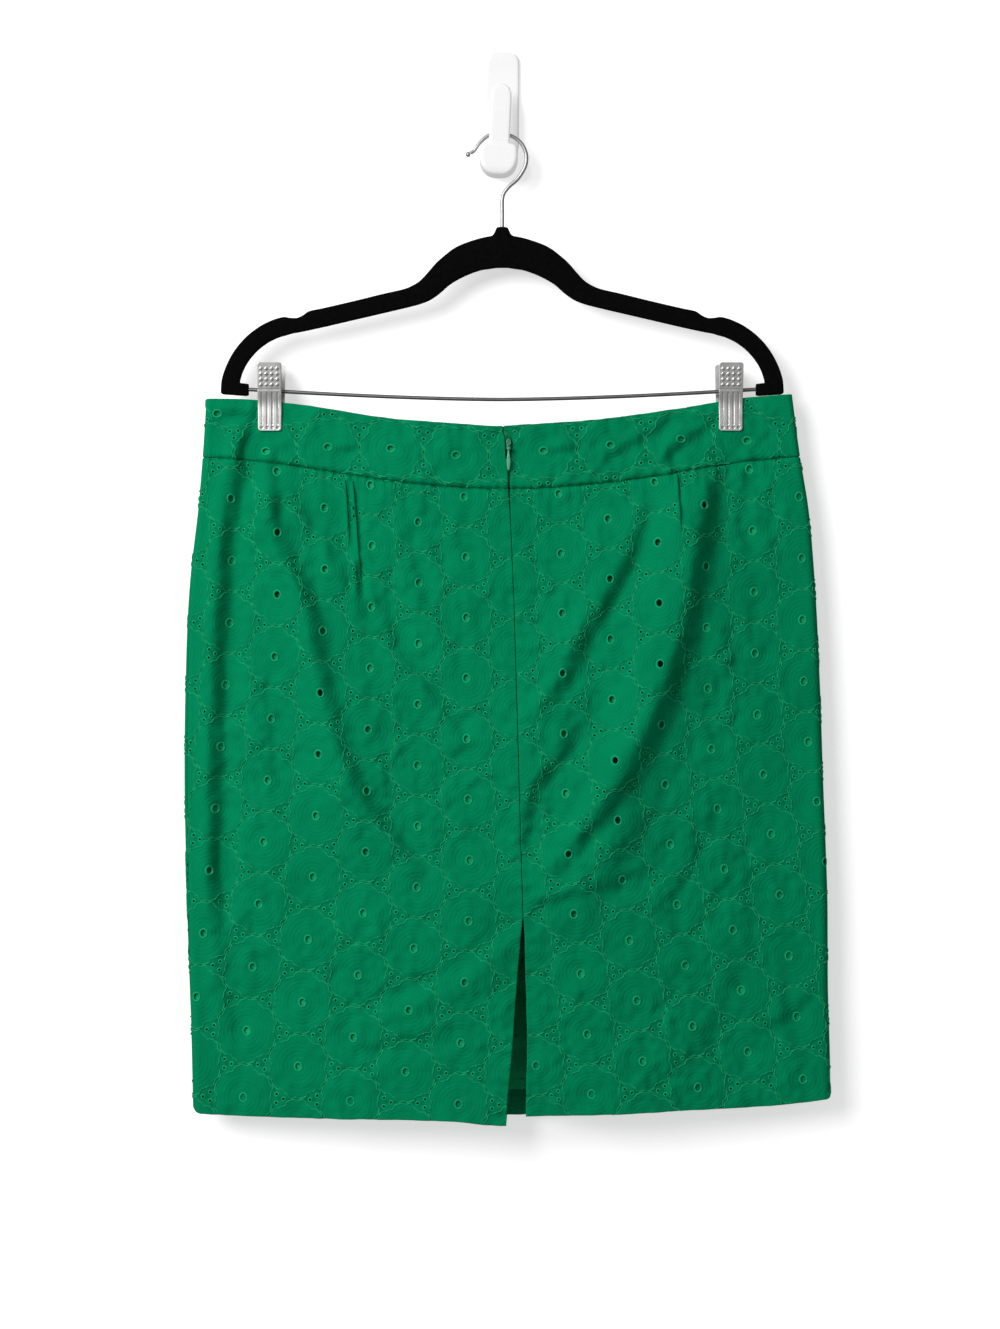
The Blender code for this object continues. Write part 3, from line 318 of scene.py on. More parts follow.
# creases, each a small wave with its ridge on the left or above and its trough on the right or below: the
# ridge's height, the distance from the middle to the ridge, how long the ends take to fade, and the line
DOWN, ACROSS = "height", "x"
CREASES = {
    -1: {
        DOWN: [
            (5.8, 8.5, 60, [(-207, -296), (-215.6, -334.6), (-221.9, -414), (-225.9, -493.4), (-229.1, -643.5)]),
            (3.7, 8, 60, [(-181, -322), (-169.5, -371), (-151.3, -407.7), (-140.2, -462.5), (-118.7, -540.3),
                (-64.7, -620.5)]),
            (3.7, 8.5, 55, [(175.1, -300), (166.3, -335.4), (153.6, -410), (133.8, -477.5), (106, -541.1),
                (66.3, -592.7), (42.5, -625)]),
            (2.9, 7, 60, [(113.9, -330), (103.6, -370.4), (82.2, -410.1), (63.9, -440), (49.6, -469.6),
                (28.2, -500)]),
            (2.2, 6.5, 45, [(60, -505), (48, -528), (36.5, -542), (25.8, -560), (19.4, -600)]),
            (2.4, 8, 50, [(-229, -600), (-226, -650), (-220, -700), (-212, -752)]),
            (1.5, 6.5, 36, [(-150, -340), (-134, -366), (-118, -398), (-104, -425)]),
            (2.4, 3, 10, [(-114, -374), (-113.5, -388), (-112.5, -403)]),
            (0.9, 2.3, 12, [(-117.4, -316), (-115.3, -336), (-113, -366)]),
            (0.9, 2.3, 12, [(-123.2, -316), (-122, -335), (-120, -362)]),
            (0.9, 2.3, 12, [(140.1, -311), (140.7, -324), (142.0, -350)]),
            (1.8, 8, 40, [(110, -512), (93.3, -540), (74.7, -573.6), (61.5, -596), (52, -610)]),
            (1.3, 6, 25, [(222, -714), (226, -740), (233, -770), (236, -800)]),
            (1.0, 9, 50, [(200, -640), (186, -690), (166, -740), (140, -775)]),
            (1.1, 8, 40, [(165, -560), (150, -610), (128, -650)]),
            (1.4, 7, 40, [(-171.9, -305), (-160, -335), (-150, -362)]),
            (2.0, 7, 40, [(-104, -396), (-96.5, -414), (-76.6, -453.7), (-44.9, -493.4), (-30, -520)]),
            (1.1, 7, 40, [(-84, -356), (-66, -392), (-50, -420), (-36, -452)]),
            (1.0, 6, 26, [(-62, -326), (-60, -350), (-52, -376)]),
            (0.9, 6, 24, [(-30, -330), (-33, -356), (-28, -380)]),
            (1.0, 8, 50, [(-190, -470), (-184, -520), (-172, -575)]),
            (0.9, 8, 40, [(-206, -640), (-200, -690), (-188, -735)]),
            (3.6, 7.0, 16, [(-192, -256), (-200, -270), (-205.5, -284), (-208, -300)]),
            (1.5, 4.5, 12, [(133, -288), (134, -297), (135, -310)]),
            (1.6, 6, 20, [(-183, -290), (-182, -310), (-178, -345)]),
            (-1.2, 6, 25, [(-150, -318), (-146, -350), (-140, -392)]),
            (1.4, 5, 20, [(196, -296), (193, -318), (186, -350)]),
        ],
        ACROSS: [
            (-2.0, 8, 30, [(-108, -733), (-84.6, -727.6), (-56.8, -714), (-29, -700), (-5.2, -680), (10, -666)]),
            (1.3, 7, 30, [(-120, -760), (-90, -757), (-60, -750), (-30, -741)]),
            (1.2, 6, 20, [(24, -648), (50, -639), (94, -628), (115, -618)]),
            (1.2, 6, 14, [(206, -745), (221, -740), (238, -727), (252, -716)]),
            (1.0, 5, 18, [(-34, -500), (-18, -494), (2, -500)]),
            (1.0, 5, 18, [(-44, -530), (-24, -522), (-4, -527)]),
            (0.9, 5, 18, [(-26, -553), (-8, -548), (8, -556)]),
            (0.9, 6, 24, [(-70, -560), (-48, -576), (-30, -600)]),
            (1.0, 6, 26, [(18, -478), (34, -462), (52, -440)]),
            (2.4, 5, 9, [(-226, -257), (-210, -257.5), (-192, -259.5)]),
            (1.0, 3.6, 8, [(-132, -285.5), (-124, -286), (-114, -285)]),
            (1.0, 4, 9, [(38, -286.3), (48, -286), (61, -285)]),
            (1.6, 5, 16, [(78, -296), (107.5, -280), (134, -262)]),
            (1.0, 4, 8, [(147, -260.5), (158, -260.5), (171, -260)]),
            (1.7, 5, 12, [(124, -297), (142.5, -281), (171, -264.5)]),
            (1.2, 4.5, 8, [(193, -254.5), (206, -258), (218, -264.5)]),
        ],
    },
    1: {
        DOWN: [
            (1.6, 8, 60, [(178, -303), (160, -380), (135, -470), (95, -560), (60, -620)]),
            (1.4, 8, 60, [(-181, -303), (-160, -390), (-128, -480), (-85, -570)]),
            (1.2, 7, 60, [(100, -330), (78, -420), (40, -510)]),
            (1.0, 9, 50, [(-222, -330), (-226, -450), (-224, -600)]),
        ],
        ACROSS: [
            (-0.9, 9, 40, [(-70, -740), (0, -716), (80, -728)]),
            (0.8, 5, 14, [(-150, -280), (-120, -286), (-90, -292)]),
            (0.8, 5, 14, [(95, -292), (130, -284), (160, -270)]),
        ],
    },
}  # fmt: skip
# the cloth's soft unevenness: height, waves a metre along x and along z, and where each wave starts
UNEVEN = (
    (0.55, 7.3, 2.1, 0.4), (0.50, 3.1, 8.2, 2.2), (0.42, -9.4, 6.7, 4.1), (0.34, 14.0, 5.3, 1.3),
    (0.28, -6.0, 17.0, 5.5), (0.16, 31.0, 12.0, 0.9), (0.13, -23.0, 29.0, 3.4), (0.07, 61.0, -24.0, 2.5),
    (0.06, 37.0, 58.0, 0.2), (0.05, -83.0, 41.0, 4.4),
)  # fmt: skip
RUMPLES = 48
RUMPLE_WAVES = (34.0, 140.0)  # waves a metre
RUMPLE_SLOPE = 0.031
RUMPLE_SWELL = 0.5  # how much they wax and wane
draw = np.random.default_rng(11)
rumple_waves = RUMPLE_WAVES[0] * (RUMPLE_WAVES[1] / RUMPLE_WAVES[0]) ** draw.random(RUMPLES)
rumple_turns = draw.random(RUMPLES) * math.pi
rumple_starts = draw.random(RUMPLES) * 2 * math.pi


def read(rows, key, column, at):
    """A column of a table read along its key column, on a smooth curve through the rows."""
    keys = rows[key]
    values = rows[column]
    slopes = np.gradient(values, keys)
    at = np.clip(at, keys[0], keys[-1])
    low = np.clip(np.searchsorted(keys, at) - 1, 0, len(keys) - 2)
    span = keys[low + 1] - keys[low]
    t = (at - keys[low]) / span
    start = (1 + 2 * t) * (1 - t) ** 2 * values[low] + t * (1 - t) ** 2 * span * slopes[low]
    stop = t * t * (3 - 2 * t) * values[low + 1] + t * t * (t - 1) * span * slopes[low + 1]
    return start + stop


def smooth_step(low, high, value):
    """0 below low, 1 above high, and an S curve between them."""
    t = np.clip((value - low) / (high - low), 0, 1)
    return t * t * (3 - 2 * t)


def outline(column, height):
    return read(OUTLINE, "height", column, height)


def middle(height):
    return (outline("left", height) + outline("right", height)) / 2


def flat_half(height):
    """Half the skirt's width between its side folds."""
    return (outline("right", height) - outline("left", height)) / 2 - outline("fold_radius", height)


def fold_rise(x, height, side):
    """How far the large folds stand out: each is a bell-shaped ridge exp(-(distance / reach)^2)."""
    total = np.zeros(x.shape)
    for top_x, top, low_x, low, bow, rise, reach in FOLDS[side]:
        inside = np.clip((top - height) / (top - low), 0, 1)
        line = top_x + (low_x - top_x) * inside + 4 * bow * inside * (1 - inside)
        ends = smooth_step(low - FOLD_FADE, low + FOLD_FADE, height)
        ends = ends * smooth_step(top + FOLD_FADE / 2, top - FOLD_FADE, height)
        total = total + rise * ends * np.exp(-(((x - line) / reach) ** 2))
    return total


def crease_rise(x, height, side):
    """Sum of the creases: each is -rise * s * exp((1 - s^2) / 2), where s is the distance from its line to
    the right or down, in widths, so that it has a ridge at s = -1 and a trough at s = 1."""
    total = np.zeros(x.shape)
    for key, creases in CREASES[side].items():
        other, sense, along, aside = (ACROSS, 1, height, x) if key == DOWN else (DOWN, -1, x, -height)
        for rise, width, fade, points in creases:
            line = curve(sorted(points, key=lambda point: point[other == ACROSS]))
            slope = np.interp(along, line[key], np.gradient(line[other], line[key]))
            distance = (aside - sense * read(line, key, other, along)) / np.sqrt(1 + slope**2) / (width * MM)
            start, stop, half_fade = line[key][0], line[key][-1], fade * MM / 2
            ends = smooth_step(start - half_fade, start + half_fade, along)
            ends = ends * (1 - smooth_step(stop - half_fade, stop + half_fade, along))
            total = total - rise * MM * ends * distance * np.exp((1 - distance**2) / 2)
    return total


def uneven_rise(x, height, side):
    """A sum of sines over the cloth, with other starts on the front than on the back: slow ones from the
    table, and drawn ones of equal slope, rise * 2 * pi * waves, which wax and wane over the cloth."""
    total = np.zeros(x.shape)
    for rise, along, down, start in UNEVEN:
        total = total + rise * MM * np.sin(2 * math.pi * (along * x + down * height) + start * (2 + side))
    small = np.zeros(x.shape)
    for waves, turn, start in zip(rumple_waves, rumple_turns, rumple_starts, strict=True):
        along = 2 * math.pi * waves * (x * math.cos(turn) + height * math.sin(turn))
        small = small + RUMPLE_SLOPE / (2 * math.pi * waves) * np.sin(along + start * (2 + side))
    swell = np.sin(31 * x + 17 * height + 1.0) * np.sin(23 * height - 19 * x)
    return total + small * (1 + RUMPLE_SWELL * swell)


def seam_puckers(x, height):
    """The ditch of the waist seam, and small ripples across it and the middle seam, which soon fade."""
    from_waist = (read(WAIST_SEAM, "x", "height", x) - height) / MM
    ditch = -DITCH_DEEP * np.exp(-((from_waist / DITCH_HALF) ** 2))
    waist = np.sin(x / MM * (2 * math.pi / WAIST_STEP) + 1.5 * np.sin(x / MM / WAIST_SWAY))
    waist = waist * np.exp(-np.abs(from_waist) / np.where(from_waist > 0, RIPPLES_OVER, RIPPLES_UNDER))
    waist = waist * (1 + 0.4 * np.sin(x / MM / WAIST_SWING))
    seam = np.interp(height, BACK_OPENING["height"], BACK_OPENING["left"])
    ripple = np.sin(height / MM * (2 * math.pi / SEAM_STEP) + 2 * np.sin(height / MM / SEAM_SWAY))
    ripple = SEAM_RIPPLE * ripple * np.exp(-np.abs(x - seam) / MM / SEAM_REACH)
    return MM * (ditch + WAIST_RIPPLE * waist + ripple)


def hung(across, height, side, fabric=None):
    """Points on the hanging cloth's outer face; side -1 is the back and +1 the front.

    across is measured over the cloth from the middle. Up to the side fold the face stands off the middle
    plane by fold_radius + (depth - fold_radius) * (1 - |v| ** 2.5) ** 2, where v is the share of the
    way, less what the clips press in, plus folds, creases and unevenness, and never less than LEAST_HALF,
    by (over + sqrt(over ** 2 + round ** 2)) / 2 in place of over. Round the side fold it is an arc.
    """
    left = outline("left", height)
    right = outline("right", height)
    radius = outline("fold_radius", height)
    depth = outline("back" if side < 0 else "front", height)
    flat = (right - left) / 2 - radius
    share = np.clip(across / flat, -1, 1)
    x = (left + right) / 2 + share * flat
    stand_off = radius + (depth - radius) * (1 - np.abs(share) ** FULLNESS_ROUND) ** 2
    within = 1 - np.abs(share) ** EDGE_SQUARE
    pressed = smooth_step(CLIP_LOW - PINCH_FADE, CLIP_LOW, height) * within
    loose = np.ones(x.shape)
    for clip in CLIP_X.values():
        near = 1 / (1 + ((x - clip) / PINCH_REACH) ** 4)
        stand_off = stand_off - (stand_off - CLAMPED_HALF) * near * pressed
        held = 1 / (1 + ((x - clip) / CLAMP_REACH) ** 6)
        loose = loose * (1 - held * smooth_step(CLIP_LOW - CLAMP_FADE, CLIP_LOW, height))
    rise = fold_rise(x, height, side) + crease_rise(x, height, side) + uneven_rise(x, height, side)
    rise = rise + (seam_puckers(x, height) if side < 0 else 0)
    if fabric is not None:
        rise = rise + fabric.pucker(across, height)
    over = stand_off + rise * within * loose - LEAST_HALF
    stand_off = LEAST_HALF + (over + np.sqrt(over**2 + LEAST_ROUND**2)) / 2
    turn = np.clip((np.abs(across) - flat) / radius, 0, math.pi)
    x = x + np.sign(across) * radius * np.sin(turn)
    stand_off = np.where(turn > 0, radius * np.cos(turn), stand_off)
    y = outline("middle", height) + side * stand_off
    return np.stack(np.broadcast_arrays(x, y, height), axis=-1)


def unit(vectors):
    return vectors / np.linalg.norm(vectors, axis=-1, keepdims=True)


def hung_normals(across, height, side, fabric=None):
    """Unit normals of the outer face, from the cross product of small steps along and down it."""
    step = 0.4 * MM
    along = hung(across + step, height, side, fabric) - hung(across - step, height, side, fabric)
    up = hung(across, height + step, side, fabric) - hung(across, height - step, side, fabric)
    return unit(-side * np.cross(along, up))


def side_seam(end, side):
    """The across position of the side seam at the left (-1) or right (+1) end of the back or front."""

    def edge(height):
        quarter = outline("fold_radius", height) * math.pi / 2
        return end * (flat_half(height) + quarter - SEAM / 2) - side * outline("seam_turn", height)

    return edge


def opening_edge(end, clearance=0.0):
    """The across position of one back half's edge at the middle, moved away from the opening."""
    column = BACK_OPENING["left" if end < 0 else "right"]

    def edge(height):
        return np.interp(height, BACK_OPENING["height"], column) + end * clearance - middle(height)

    return edge


def span(name, clearance=0.0):
    """The side on which the front or a back half lies, and its left and right edges."""
    if name == "front":
        return 1, side_seam(-1, 1), side_seam(1, 1)
    if name == "back_left":
        return -1, side_seam(-1, -1), opening_edge(-1, clearance)
    return -1, opening_edge(1, clearance), side_seam(1, -1)


def path(rows):
    """How a sheet's edge runs: distances from the edge over the cloth, and depths under its outer face."""
    return MM * np.array(rows, dtype=float)


def corners_of(grid):
    """The four corners of every cell of a grid, in their order round it."""
    return grid[:-1, :-1], grid[1:, :-1], grid[1:, 1:], grid[:-1, 1:]


CUT_EDGE = path([(0, 0)])
MID_LEVEL = -0.55  # where a sheet's width is taken for the number of its columns


class Sheet:
    """A grid over the hanging form, between a top and a bottom line and two edges.

    A row or column is start * (1 - t) + stop * t over the middle of the sheet, and beside an edge it keeps
    its distance from it. A folded edge's first columns or rows lie behind the face and run back to it.
    """

    def __init__(self, side, left, right, top, bottom, spacing, paths, fabric=None, under=0.0):
        self.side, self.left, self.right, self.fabric = side, left, right, fabric
        self.top, self.bottom = top, bottom
        left_path, right_path, top_path, bottom_path = paths
        wide = float(right(MID_LEVEL) - left(MID_LEVEL))
        high = float(np.mean(top["height"]) - np.mean(bottom["height"]))
        t, inset, column_depth = self.run(left_path, right_path, round(wide / spacing))
        down, drop, row_depth = self.run(top_path, bottom_path, round(high / spacing))
        high_line, low_line = (np.full(t.shape, np.mean(line["height"])) for line in (top, bottom))
        for _ in range(2):
            high_line = self.line(top, t, inset, high_line)
            low_line = self.line(bottom, t, inset, low_line)
        self.height = high_line * (1 - down[:, None]) + low_line * down[:, None] - drop[:, None]
        self.across = left(self.height) * (1 - t) + right(self.height) * t + inset
        self.depth = np.maximum(row_depth[:, None], column_depth)
        self.points = hung(self.across, self.height, side, fabric)
        self.normals = hung_normals(self.across, self.height, side, fabric)
        self.points = self.points - (self.depth + under)[..., None] * self.normals

    @staticmethod
    def run(start_path, stop_path, count):
        """Shares from start to stop, distances beside the edges and depths of a sheet's columns or rows."""
        t = np.linspace(0, 1, count + 1)[1:-1]
        last, first = start_path[-1, 0], stop_path[-1, 0]
        share = np.concatenate([0 * start_path[:, 0], t, 0 * stop_path[:, 0] + 1])
        inset = np.concatenate([start_path[:, 0], last * (1 - t) - first * t, -stop_path[::-1, 0]])
        depth = np.concatenate([start_path[:, 1], 0 * t, stop_path[::-1, 1]])
        return share, inset, depth

    def line(self, rows, t, inset, height):
        across = self.left(height) * (1 - t) + self.right(height) * t + inset
        return read(rows, "x", "height", middle(height) + across)

    def faces(self):
        """Corner numbers of the grid's faces, outward, in an array (rows, columns, 4)."""
        corners = np.stack(corners_of(np.arange(self.across.size).reshape(self.across.shape)), axis=-1)
        return corners[..., :: -self.side]

    def holds(self, across, height, margin):
        """Whether places lie on the sheet, this far from its edges."""
        x = middle(height) + across
        wide = (across > self.left(height) + margin) & (across < self.right(height) - margin)
        high = height < read(self.top, "x", "height", x) - margin
        return wide & high & (height > read(self.bottom, "x", "height", x) + margin)

    def cover(self, name, paint, keep=None, uv=None):
        """The sheet as a piece, of the faces that are kept, without the points that no face uses."""
        faces = self.faces()
        faces = faces.reshape(-1, 4) if keep is None else faces[keep]
        used = np.zeros(self.across.size, dtype=bool)
        used[faces.ravel()] = True
        number = np.cumsum(used) - 1
        uv = None if uv is None else uv.reshape(-1, 2)[used]
        return add_piece(name, self.points.reshape(-1, 3)[used], [number[faces]], paint, uv)


def declare(piece, node=None, body="skirt_and_hanger"):
    """What every piece says: the body that it rides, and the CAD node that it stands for."""
    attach(piece, body)
    if node:
        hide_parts(node)


def declare_cloth(piece, node):
    """What every sheet of cloth says: the same as every other piece."""
    declare(piece, node)


LINING_UNDER = {-1: 2.0 * MM, 1: 1.0 * MM}
LINING_FOLLOWS = 0.5
LINING_SPACING = 5 * MM
LINING_SHORTER = 20 * MM
LINING_FROM_SLIT = 2 * MM
LINING_HEM = path([(9, 0.5), (3, 0.5), (0.8, 0.45), (0, 0.2), (0.4, 0), (2, 0)])
LINING_SIZES = {"front": (516, 500), "back_left": (268, 500), "back_right": (258, 495)}
WARP_STEP, WEFT_STEP = 0.00042, 0.00038

lining_paint = Paint("plain_lining", Roughness=0.55, Specular_IOR_Level=0.06)
place = lining_paint.object_place()
x, y, z = lining_paint.parts(place)
warp = lining_paint.math("SINE", x * (2 * math.pi / WARP_STEP))
threads = warp + lining_paint.math("SINE", z * (2 * math.pi / WEFT_STEP))
clouds = lining_paint.noise(place, 22.0)
lining_green = lining_paint.mix(clouds, (0.0035, 0.32, 0.120, 1), (0.005, 0.43, 0.163, 1))
lining_paint.shade(Base_Color=lining_green)
lining_paint.bump(threads * 0.02 + lining_paint.noise(place, 900.0) * 0.05)


def raised(line, by):
    return {"x": line["x"], "height": line["height"] + by}


for name, size in LINING_SIZES.items():
    side, left, right = span(name, LINING_FROM_SLIT)
    ends = [LINING_HEM if name == half else CUT_EDGE for half in ("back_right", "back_left")]
    low = raised(HEMS[name], LINING_SHORTER)
    paths = (*ends, CUT_EDGE, LINING_HEM)
    sheet = Sheet(side, left, right, WAIST_SEAM, low, LINING_SPACING, paths, under=LINING_UNDER[side])
    place = middle(sheet.height) + sheet.across, sheet.height, side
    slack = (1 - LINING_FOLLOWS) * np.maximum(fold_rise(*place) + crease_rise(*place), 0)
    sheet.points = sheet.points - slack[..., None] * sheet.normals
    piece = sheet.cover(f"lining_{name}_cloth", lining_paint)
    declare_cloth(piece, f"lining_{name}")


# ================================================================ the inner waistband
# The plain facing of the waistband, of the lining's cloth, in three pieces. It is sewn to the outer band
# along the top and into the waist seam, and the band's eyelets show it.

TOP_BACK = curve(
    [
        (-235, -245.6), (-208, -245.8), (-160, -250.3), (-97, -260.3), (-33, -265.8), (-1, -267.6), (15, -266.6),
        (78, -262.2), (142, -253.2), (194, -244.8), (231, -242.0),
    ]
)  # fmt: skip
TOP_FRONT = curve(
    [(-235, -245.6), (-190, -248.5), (-97, -262.8), (0, -270.0), (97, -262.4), (190, -247.6), (231, -242.0)],
)
TOPS = {"front": TOP_FRONT, "back_left": TOP_BACK, "back_right": TOP_BACK}
FACING_UNDER = {-1: 2.3 * MM, 1: 1.2 * MM}
FACING_SPACING = 4 * MM
FACING_LOWER = 1.0 * MM
FACING_FROM_ZIP = 1.2 * MM
FACING_SIZES = {"front": (478, 50), "back_left": (244, 50), "back_right": (232, 52)}

for name, size in FACING_SIZES.items():
    side, left, right = span(name, FACING_FROM_ZIP)
    top = raised(TOPS[name], -FACING_LOWER)
    paths = [CUT_EDGE] * 4
    sheet = Sheet(side, left, right, top, WAIST_SEAM, FACING_SPACING, paths, under=FACING_UNDER[side])
    piece = sheet.cover(f"inner_band_{name}_cloth", lining_paint)
    declare_cloth(piece, f"inner_band_{name}")


# ================================================================ the eyelet cotton
# The skirt's front and two back halves, of green cotton embroidered all over: a large eyelet in every
# hexagon, three small ones where hexagons meet, and a wavy stitched line round each. Seams are pressed open.

CELL_WIDE = 42.0  # from column to column of large eyelets, in mm of the flat cloth
CELL_HIGH = 48.3
CELL_CORNER = 27.9  # from a large eyelet to a corner of its hexagon
CELL_EDGE = CELL_HIGH / 2
RISE_WAVE = 13.0
COLUMNS = np.arange(-8, 9)
ROWS = np.arange(-2, 13)
LARGE = (2.2, 2.8)  # half width and half height of a large eyelet's hole
SMALL = 0.95
SMALL_FROM_CORNER = 3.7
HOLE_UNDER_STITCHES = 0.35
WAVY_LINE = (22.83, -1.21, -0.68, 0.26)  # distance from the large eyelet, and swing 6, 12 and 18 times round
WAVY_STEP = 0.5  # and 24 times round, side by side with the next line
PUCKER_DEEP, PUCKER_HALF = 0.5, 2.3
RINGS_HIGH, RINGS_STEP, RINGS_AT, RINGS_REACH = 0.07, 6.8, 11, 60
DIP_DEEP, DIP_HALF = 0.12, 5
SMALL_MARGIN, LARGE_MARGIN = 1.2 * MM, 0.8 * MM  # how far inside a panel's edges the eyelets stay
WEAVE_STEP = 0.46
WEAVE_HIGH, SLUB_HIGH, CRUMPLE_HIGH, PRESSED_HIGH = 0.03, 0.12, 0.35, 0.065
PRESSED_STEP, PRESSED_REACH = 3.1, 19.0  # the faint rings that press through
LARGE_STITCHES = [(-0.12, -0.9), (0.0, -0.15), (0.3, 0.32), (0.75, 0.42), (1.1, 0.22), (1.3, -0.12)]
SMALL_STITCHES = [(-0.06, -0.7), (0.12, 0.32), (0.5, 0.5), (1.0, -0.1)]
LINE_STITCHES = [(-0.75, -0.12), (-0.38, 0.36), (0.0, 0.52), (0.38, 0.36), (0.75, -0.12)]
LARGE_SIDES, SMALL_SIDES, LINE_SIDES = 14, 9, 96
SEAM_EDGE = path([(0, 1.5), (0.25, 0.95), (0.6, 0.55), (1.1, 0.24), (1.9, 0.07), (3.0, 0)])
ROUND_EDGE = [(0.6, 1.1), (0.16, 0.94), (0, 0.55), (0.16, 0.16), (0.6, 0), (1.4, 0), (2.6, 0)]
OPENING_EDGE = path([(12, 1.2), (4, 1.15), *ROUND_EDGE])
HEM_EDGE = path([(22, 1.2), (10, 1.15), (3, 1.1), *ROUND_EDGE])
PANELS = {  # the node, the flat size in mm, and the distance from point to point of the mesh
    "back_left": ("back_panel_left", (284, 540), 1.6 * MM),
    "back_right": ("back_panel_right", (274, 535), 1.6 * MM),
    "front": ("front_panel", (520, 540), 2.5 * MM),
}
SIDE_EDGES = {
    "front": (SEAM_EDGE, SEAM_EDGE),
    "back_left": (SEAM_EDGE, OPENING_EDGE),
    "back_right": (OPENING_EDGE, SEAM_EDGE),
}
COS30 = math.cos(math.pi / 6)


class Fabric:
    """The embroidery's lattice as it hangs: flat() turns places on the hanging cloth into mm of flat cloth,
    and hung() turns them back. Each row gives the height, the middle column's x, the pitch and the rise."""

    def __init__(self, first, period, rows):
        self.first, self.period = first * MM, period * MM
        self.rows = table(("height", "origin", "pitch", "rise"), rows)

    def lift(self, nominal, column):
        """Rows rise to the sides, by rise * sin^2 of the column's share of a wave."""
        rise = np.interp(nominal, self.rows["height"], self.rows["rise"])
        return rise * np.sin(math.pi * column / RISE_WAVE) ** 2

    def flat(self, across, height):
        x = middle(height) + across
        origin, pitch = (read(self.rows, "height", key, height) for key in ("origin", "pitch"))
        column = (x - origin) / pitch
        nominal = height
        for _ in range(4):
            nominal = height - self.lift(nominal, column)
        return column * CELL_WIDE, (self.first - nominal) / self.period * CELL_HIGH

    def hung(self, u, v):
        nominal = self.first - self.period * v / CELL_HIGH
        height = nominal + self.lift(nominal, u / CELL_WIDE)
        origin, pitch = (read(self.rows, "height", key, height) for key in ("origin", "pitch"))
        return origin + u / CELL_WIDE * pitch - middle(height), height

    def centres(self):
        """The hexagons' middles in flat mm: the even columns lie half a row lower than the odd ones."""
        column, row = np.meshgrid(COLUMNS, ROWS)
        return CELL_WIDE * column.ravel(), CELL_HIGH * (row + 0.5 * (column % 2 == 0)).ravel()

    def pucker(self, across, height):
        """The cloth draws in between two wavy lines, and ripples softly round the large eyelets."""
        u, v = self.flat(across, height)
        away, out = [], []
        for shift, drop in ((0, CELL_EDGE), (CELL_WIDE, 0)):
            wide = np.abs(u - shift - 2 * CELL_WIDE * np.round((u - shift) / (2 * CELL_WIDE)))
            high = np.abs(v - drop - CELL_HIGH * np.round((v - drop) / CELL_HIGH))
            away.append(np.hypot(wide, high))
            out.append(np.maximum(high, wide * COS30 + high / 2))
        distance = np.minimum(*away)
        drawn = -PUCKER_DEEP * np.exp(-(((np.minimum(*out) - CELL_EDGE) / PUCKER_HALF) ** 2))
        ripple = RINGS_HIGH * np.cos(2 * math.pi * distance / RINGS_STEP)
        ripple = ripple * np.exp(-((distance - RINGS_AT) ** 2) / RINGS_REACH)
        return MM * (drawn + ripple - DIP_DEEP * np.exp(-((distance / DIP_HALF) ** 2)))


LATTICES = {
    "back_left": Fabric(-325.6, 47.9, [
        (-826, 8.0, 42.8, 2.0), (-746, 11.0, 42.6, 11.0), (-656, 16.2, 41.9, 16.0), (-509, 11.4, 38.9, 19.5),
        (-351, 8.3, 37.1, 24.5), (-290, 6.0, 37.0, 26.0),
    ]),
    "back_right": Fabric(-323.0, 47.45, [
        (-826, 31.0, 42.4, 11.0), (-746, 25.3, 42.1, 15.0), (-610, 12.2, 40.9, 18.0), (-509, 10.7, 38.7, 18.0),
        (-351, 8.3, 38.3, 23.0), (-290, 6.0, 38.2, 26.0),
    ]),
    "front": Fabric(-324.5, 47.7, [(-826, 15.0, 42.5, 6.0), (-600, 13.0, 41.0, 16.0), (-290, 12.0, 37.5, 25.0)]),
}  # fmt: skip

cotton = Paint("eyelet_cotton", Roughness=0.85, Specular_IOR_Level=0.012)
u, v, _ = cotton.parts(cotton.node("UVMap", {"uv_map": "cloth"}, {}))


def folded_offsets(paint, u, v, shift, drop):
    """Distances along and across from the nearest middle of one half of the hexagons, and how far out."""
    wide = abs(u - shift - paint.math("ROUND", (u - shift) / (2 * CELL_WIDE)) * (2 * CELL_WIDE))
    high = abs(v - drop - paint.math("ROUND", (v - drop) / CELL_HIGH) * CELL_HIGH)
    slant = wide * COS30 + high * 0.5
    return wide, high, paint.math("MAXIMUM", high, slant)


wide_a, high_a, out_a = folded_offsets(cotton, u, v, 0, CELL_EDGE)
wide_b, high_b, out_b = folded_offsets(cotton, u, v, CELL_WIDE, 0)
nearer = cotton.math("LESS_THAN", out_a, out_b)
wide = wide_b + nearer * (wide_a - wide_b)
high = high_b + nearer * (high_a - high_b)
distance = cotton.math("SQRT", wide * wide + high * high)
turned = cotton.math("MAXIMUM", high * COS30 - wide * 0.5, 0.0)
wide = wide + turned
high = abs(high - turned * math.sqrt(3))
beside = (CELL_CORNER - wide) * 0.5 + high * COS30 - SMALL_FROM_CORNER
inward = CELL_EDGE - wide * COS30 - high * 0.5
from_small = cotton.math("SQRT", beside * beside + inward * inward)
place = cotton.object_place()
warp, weft = (cotton.math("SINE", way * (2 * math.pi / WEAVE_STEP)) for way in (u, v))
weave = warp * weft
rings = cotton.math("COSINE", distance * (2 * math.pi / PRESSED_STEP))
rings = rings * cotton.math("LESS_THAN", distance, PRESSED_REACH)
slubs = cotton.noise(place, 620.0)
crumple = cotton.noise(place, 130.0, 3.0)
clouds = cotton.noise(place, 14.0, 3.0)
green = cotton.mix(clouds, (0.0005, 0.192, 0.077, 1), (0.001, 0.262, 0.110, 1))
green = cotton.mix(slubs * 0.35, green, (0.0004, 0.158, 0.062, 1))
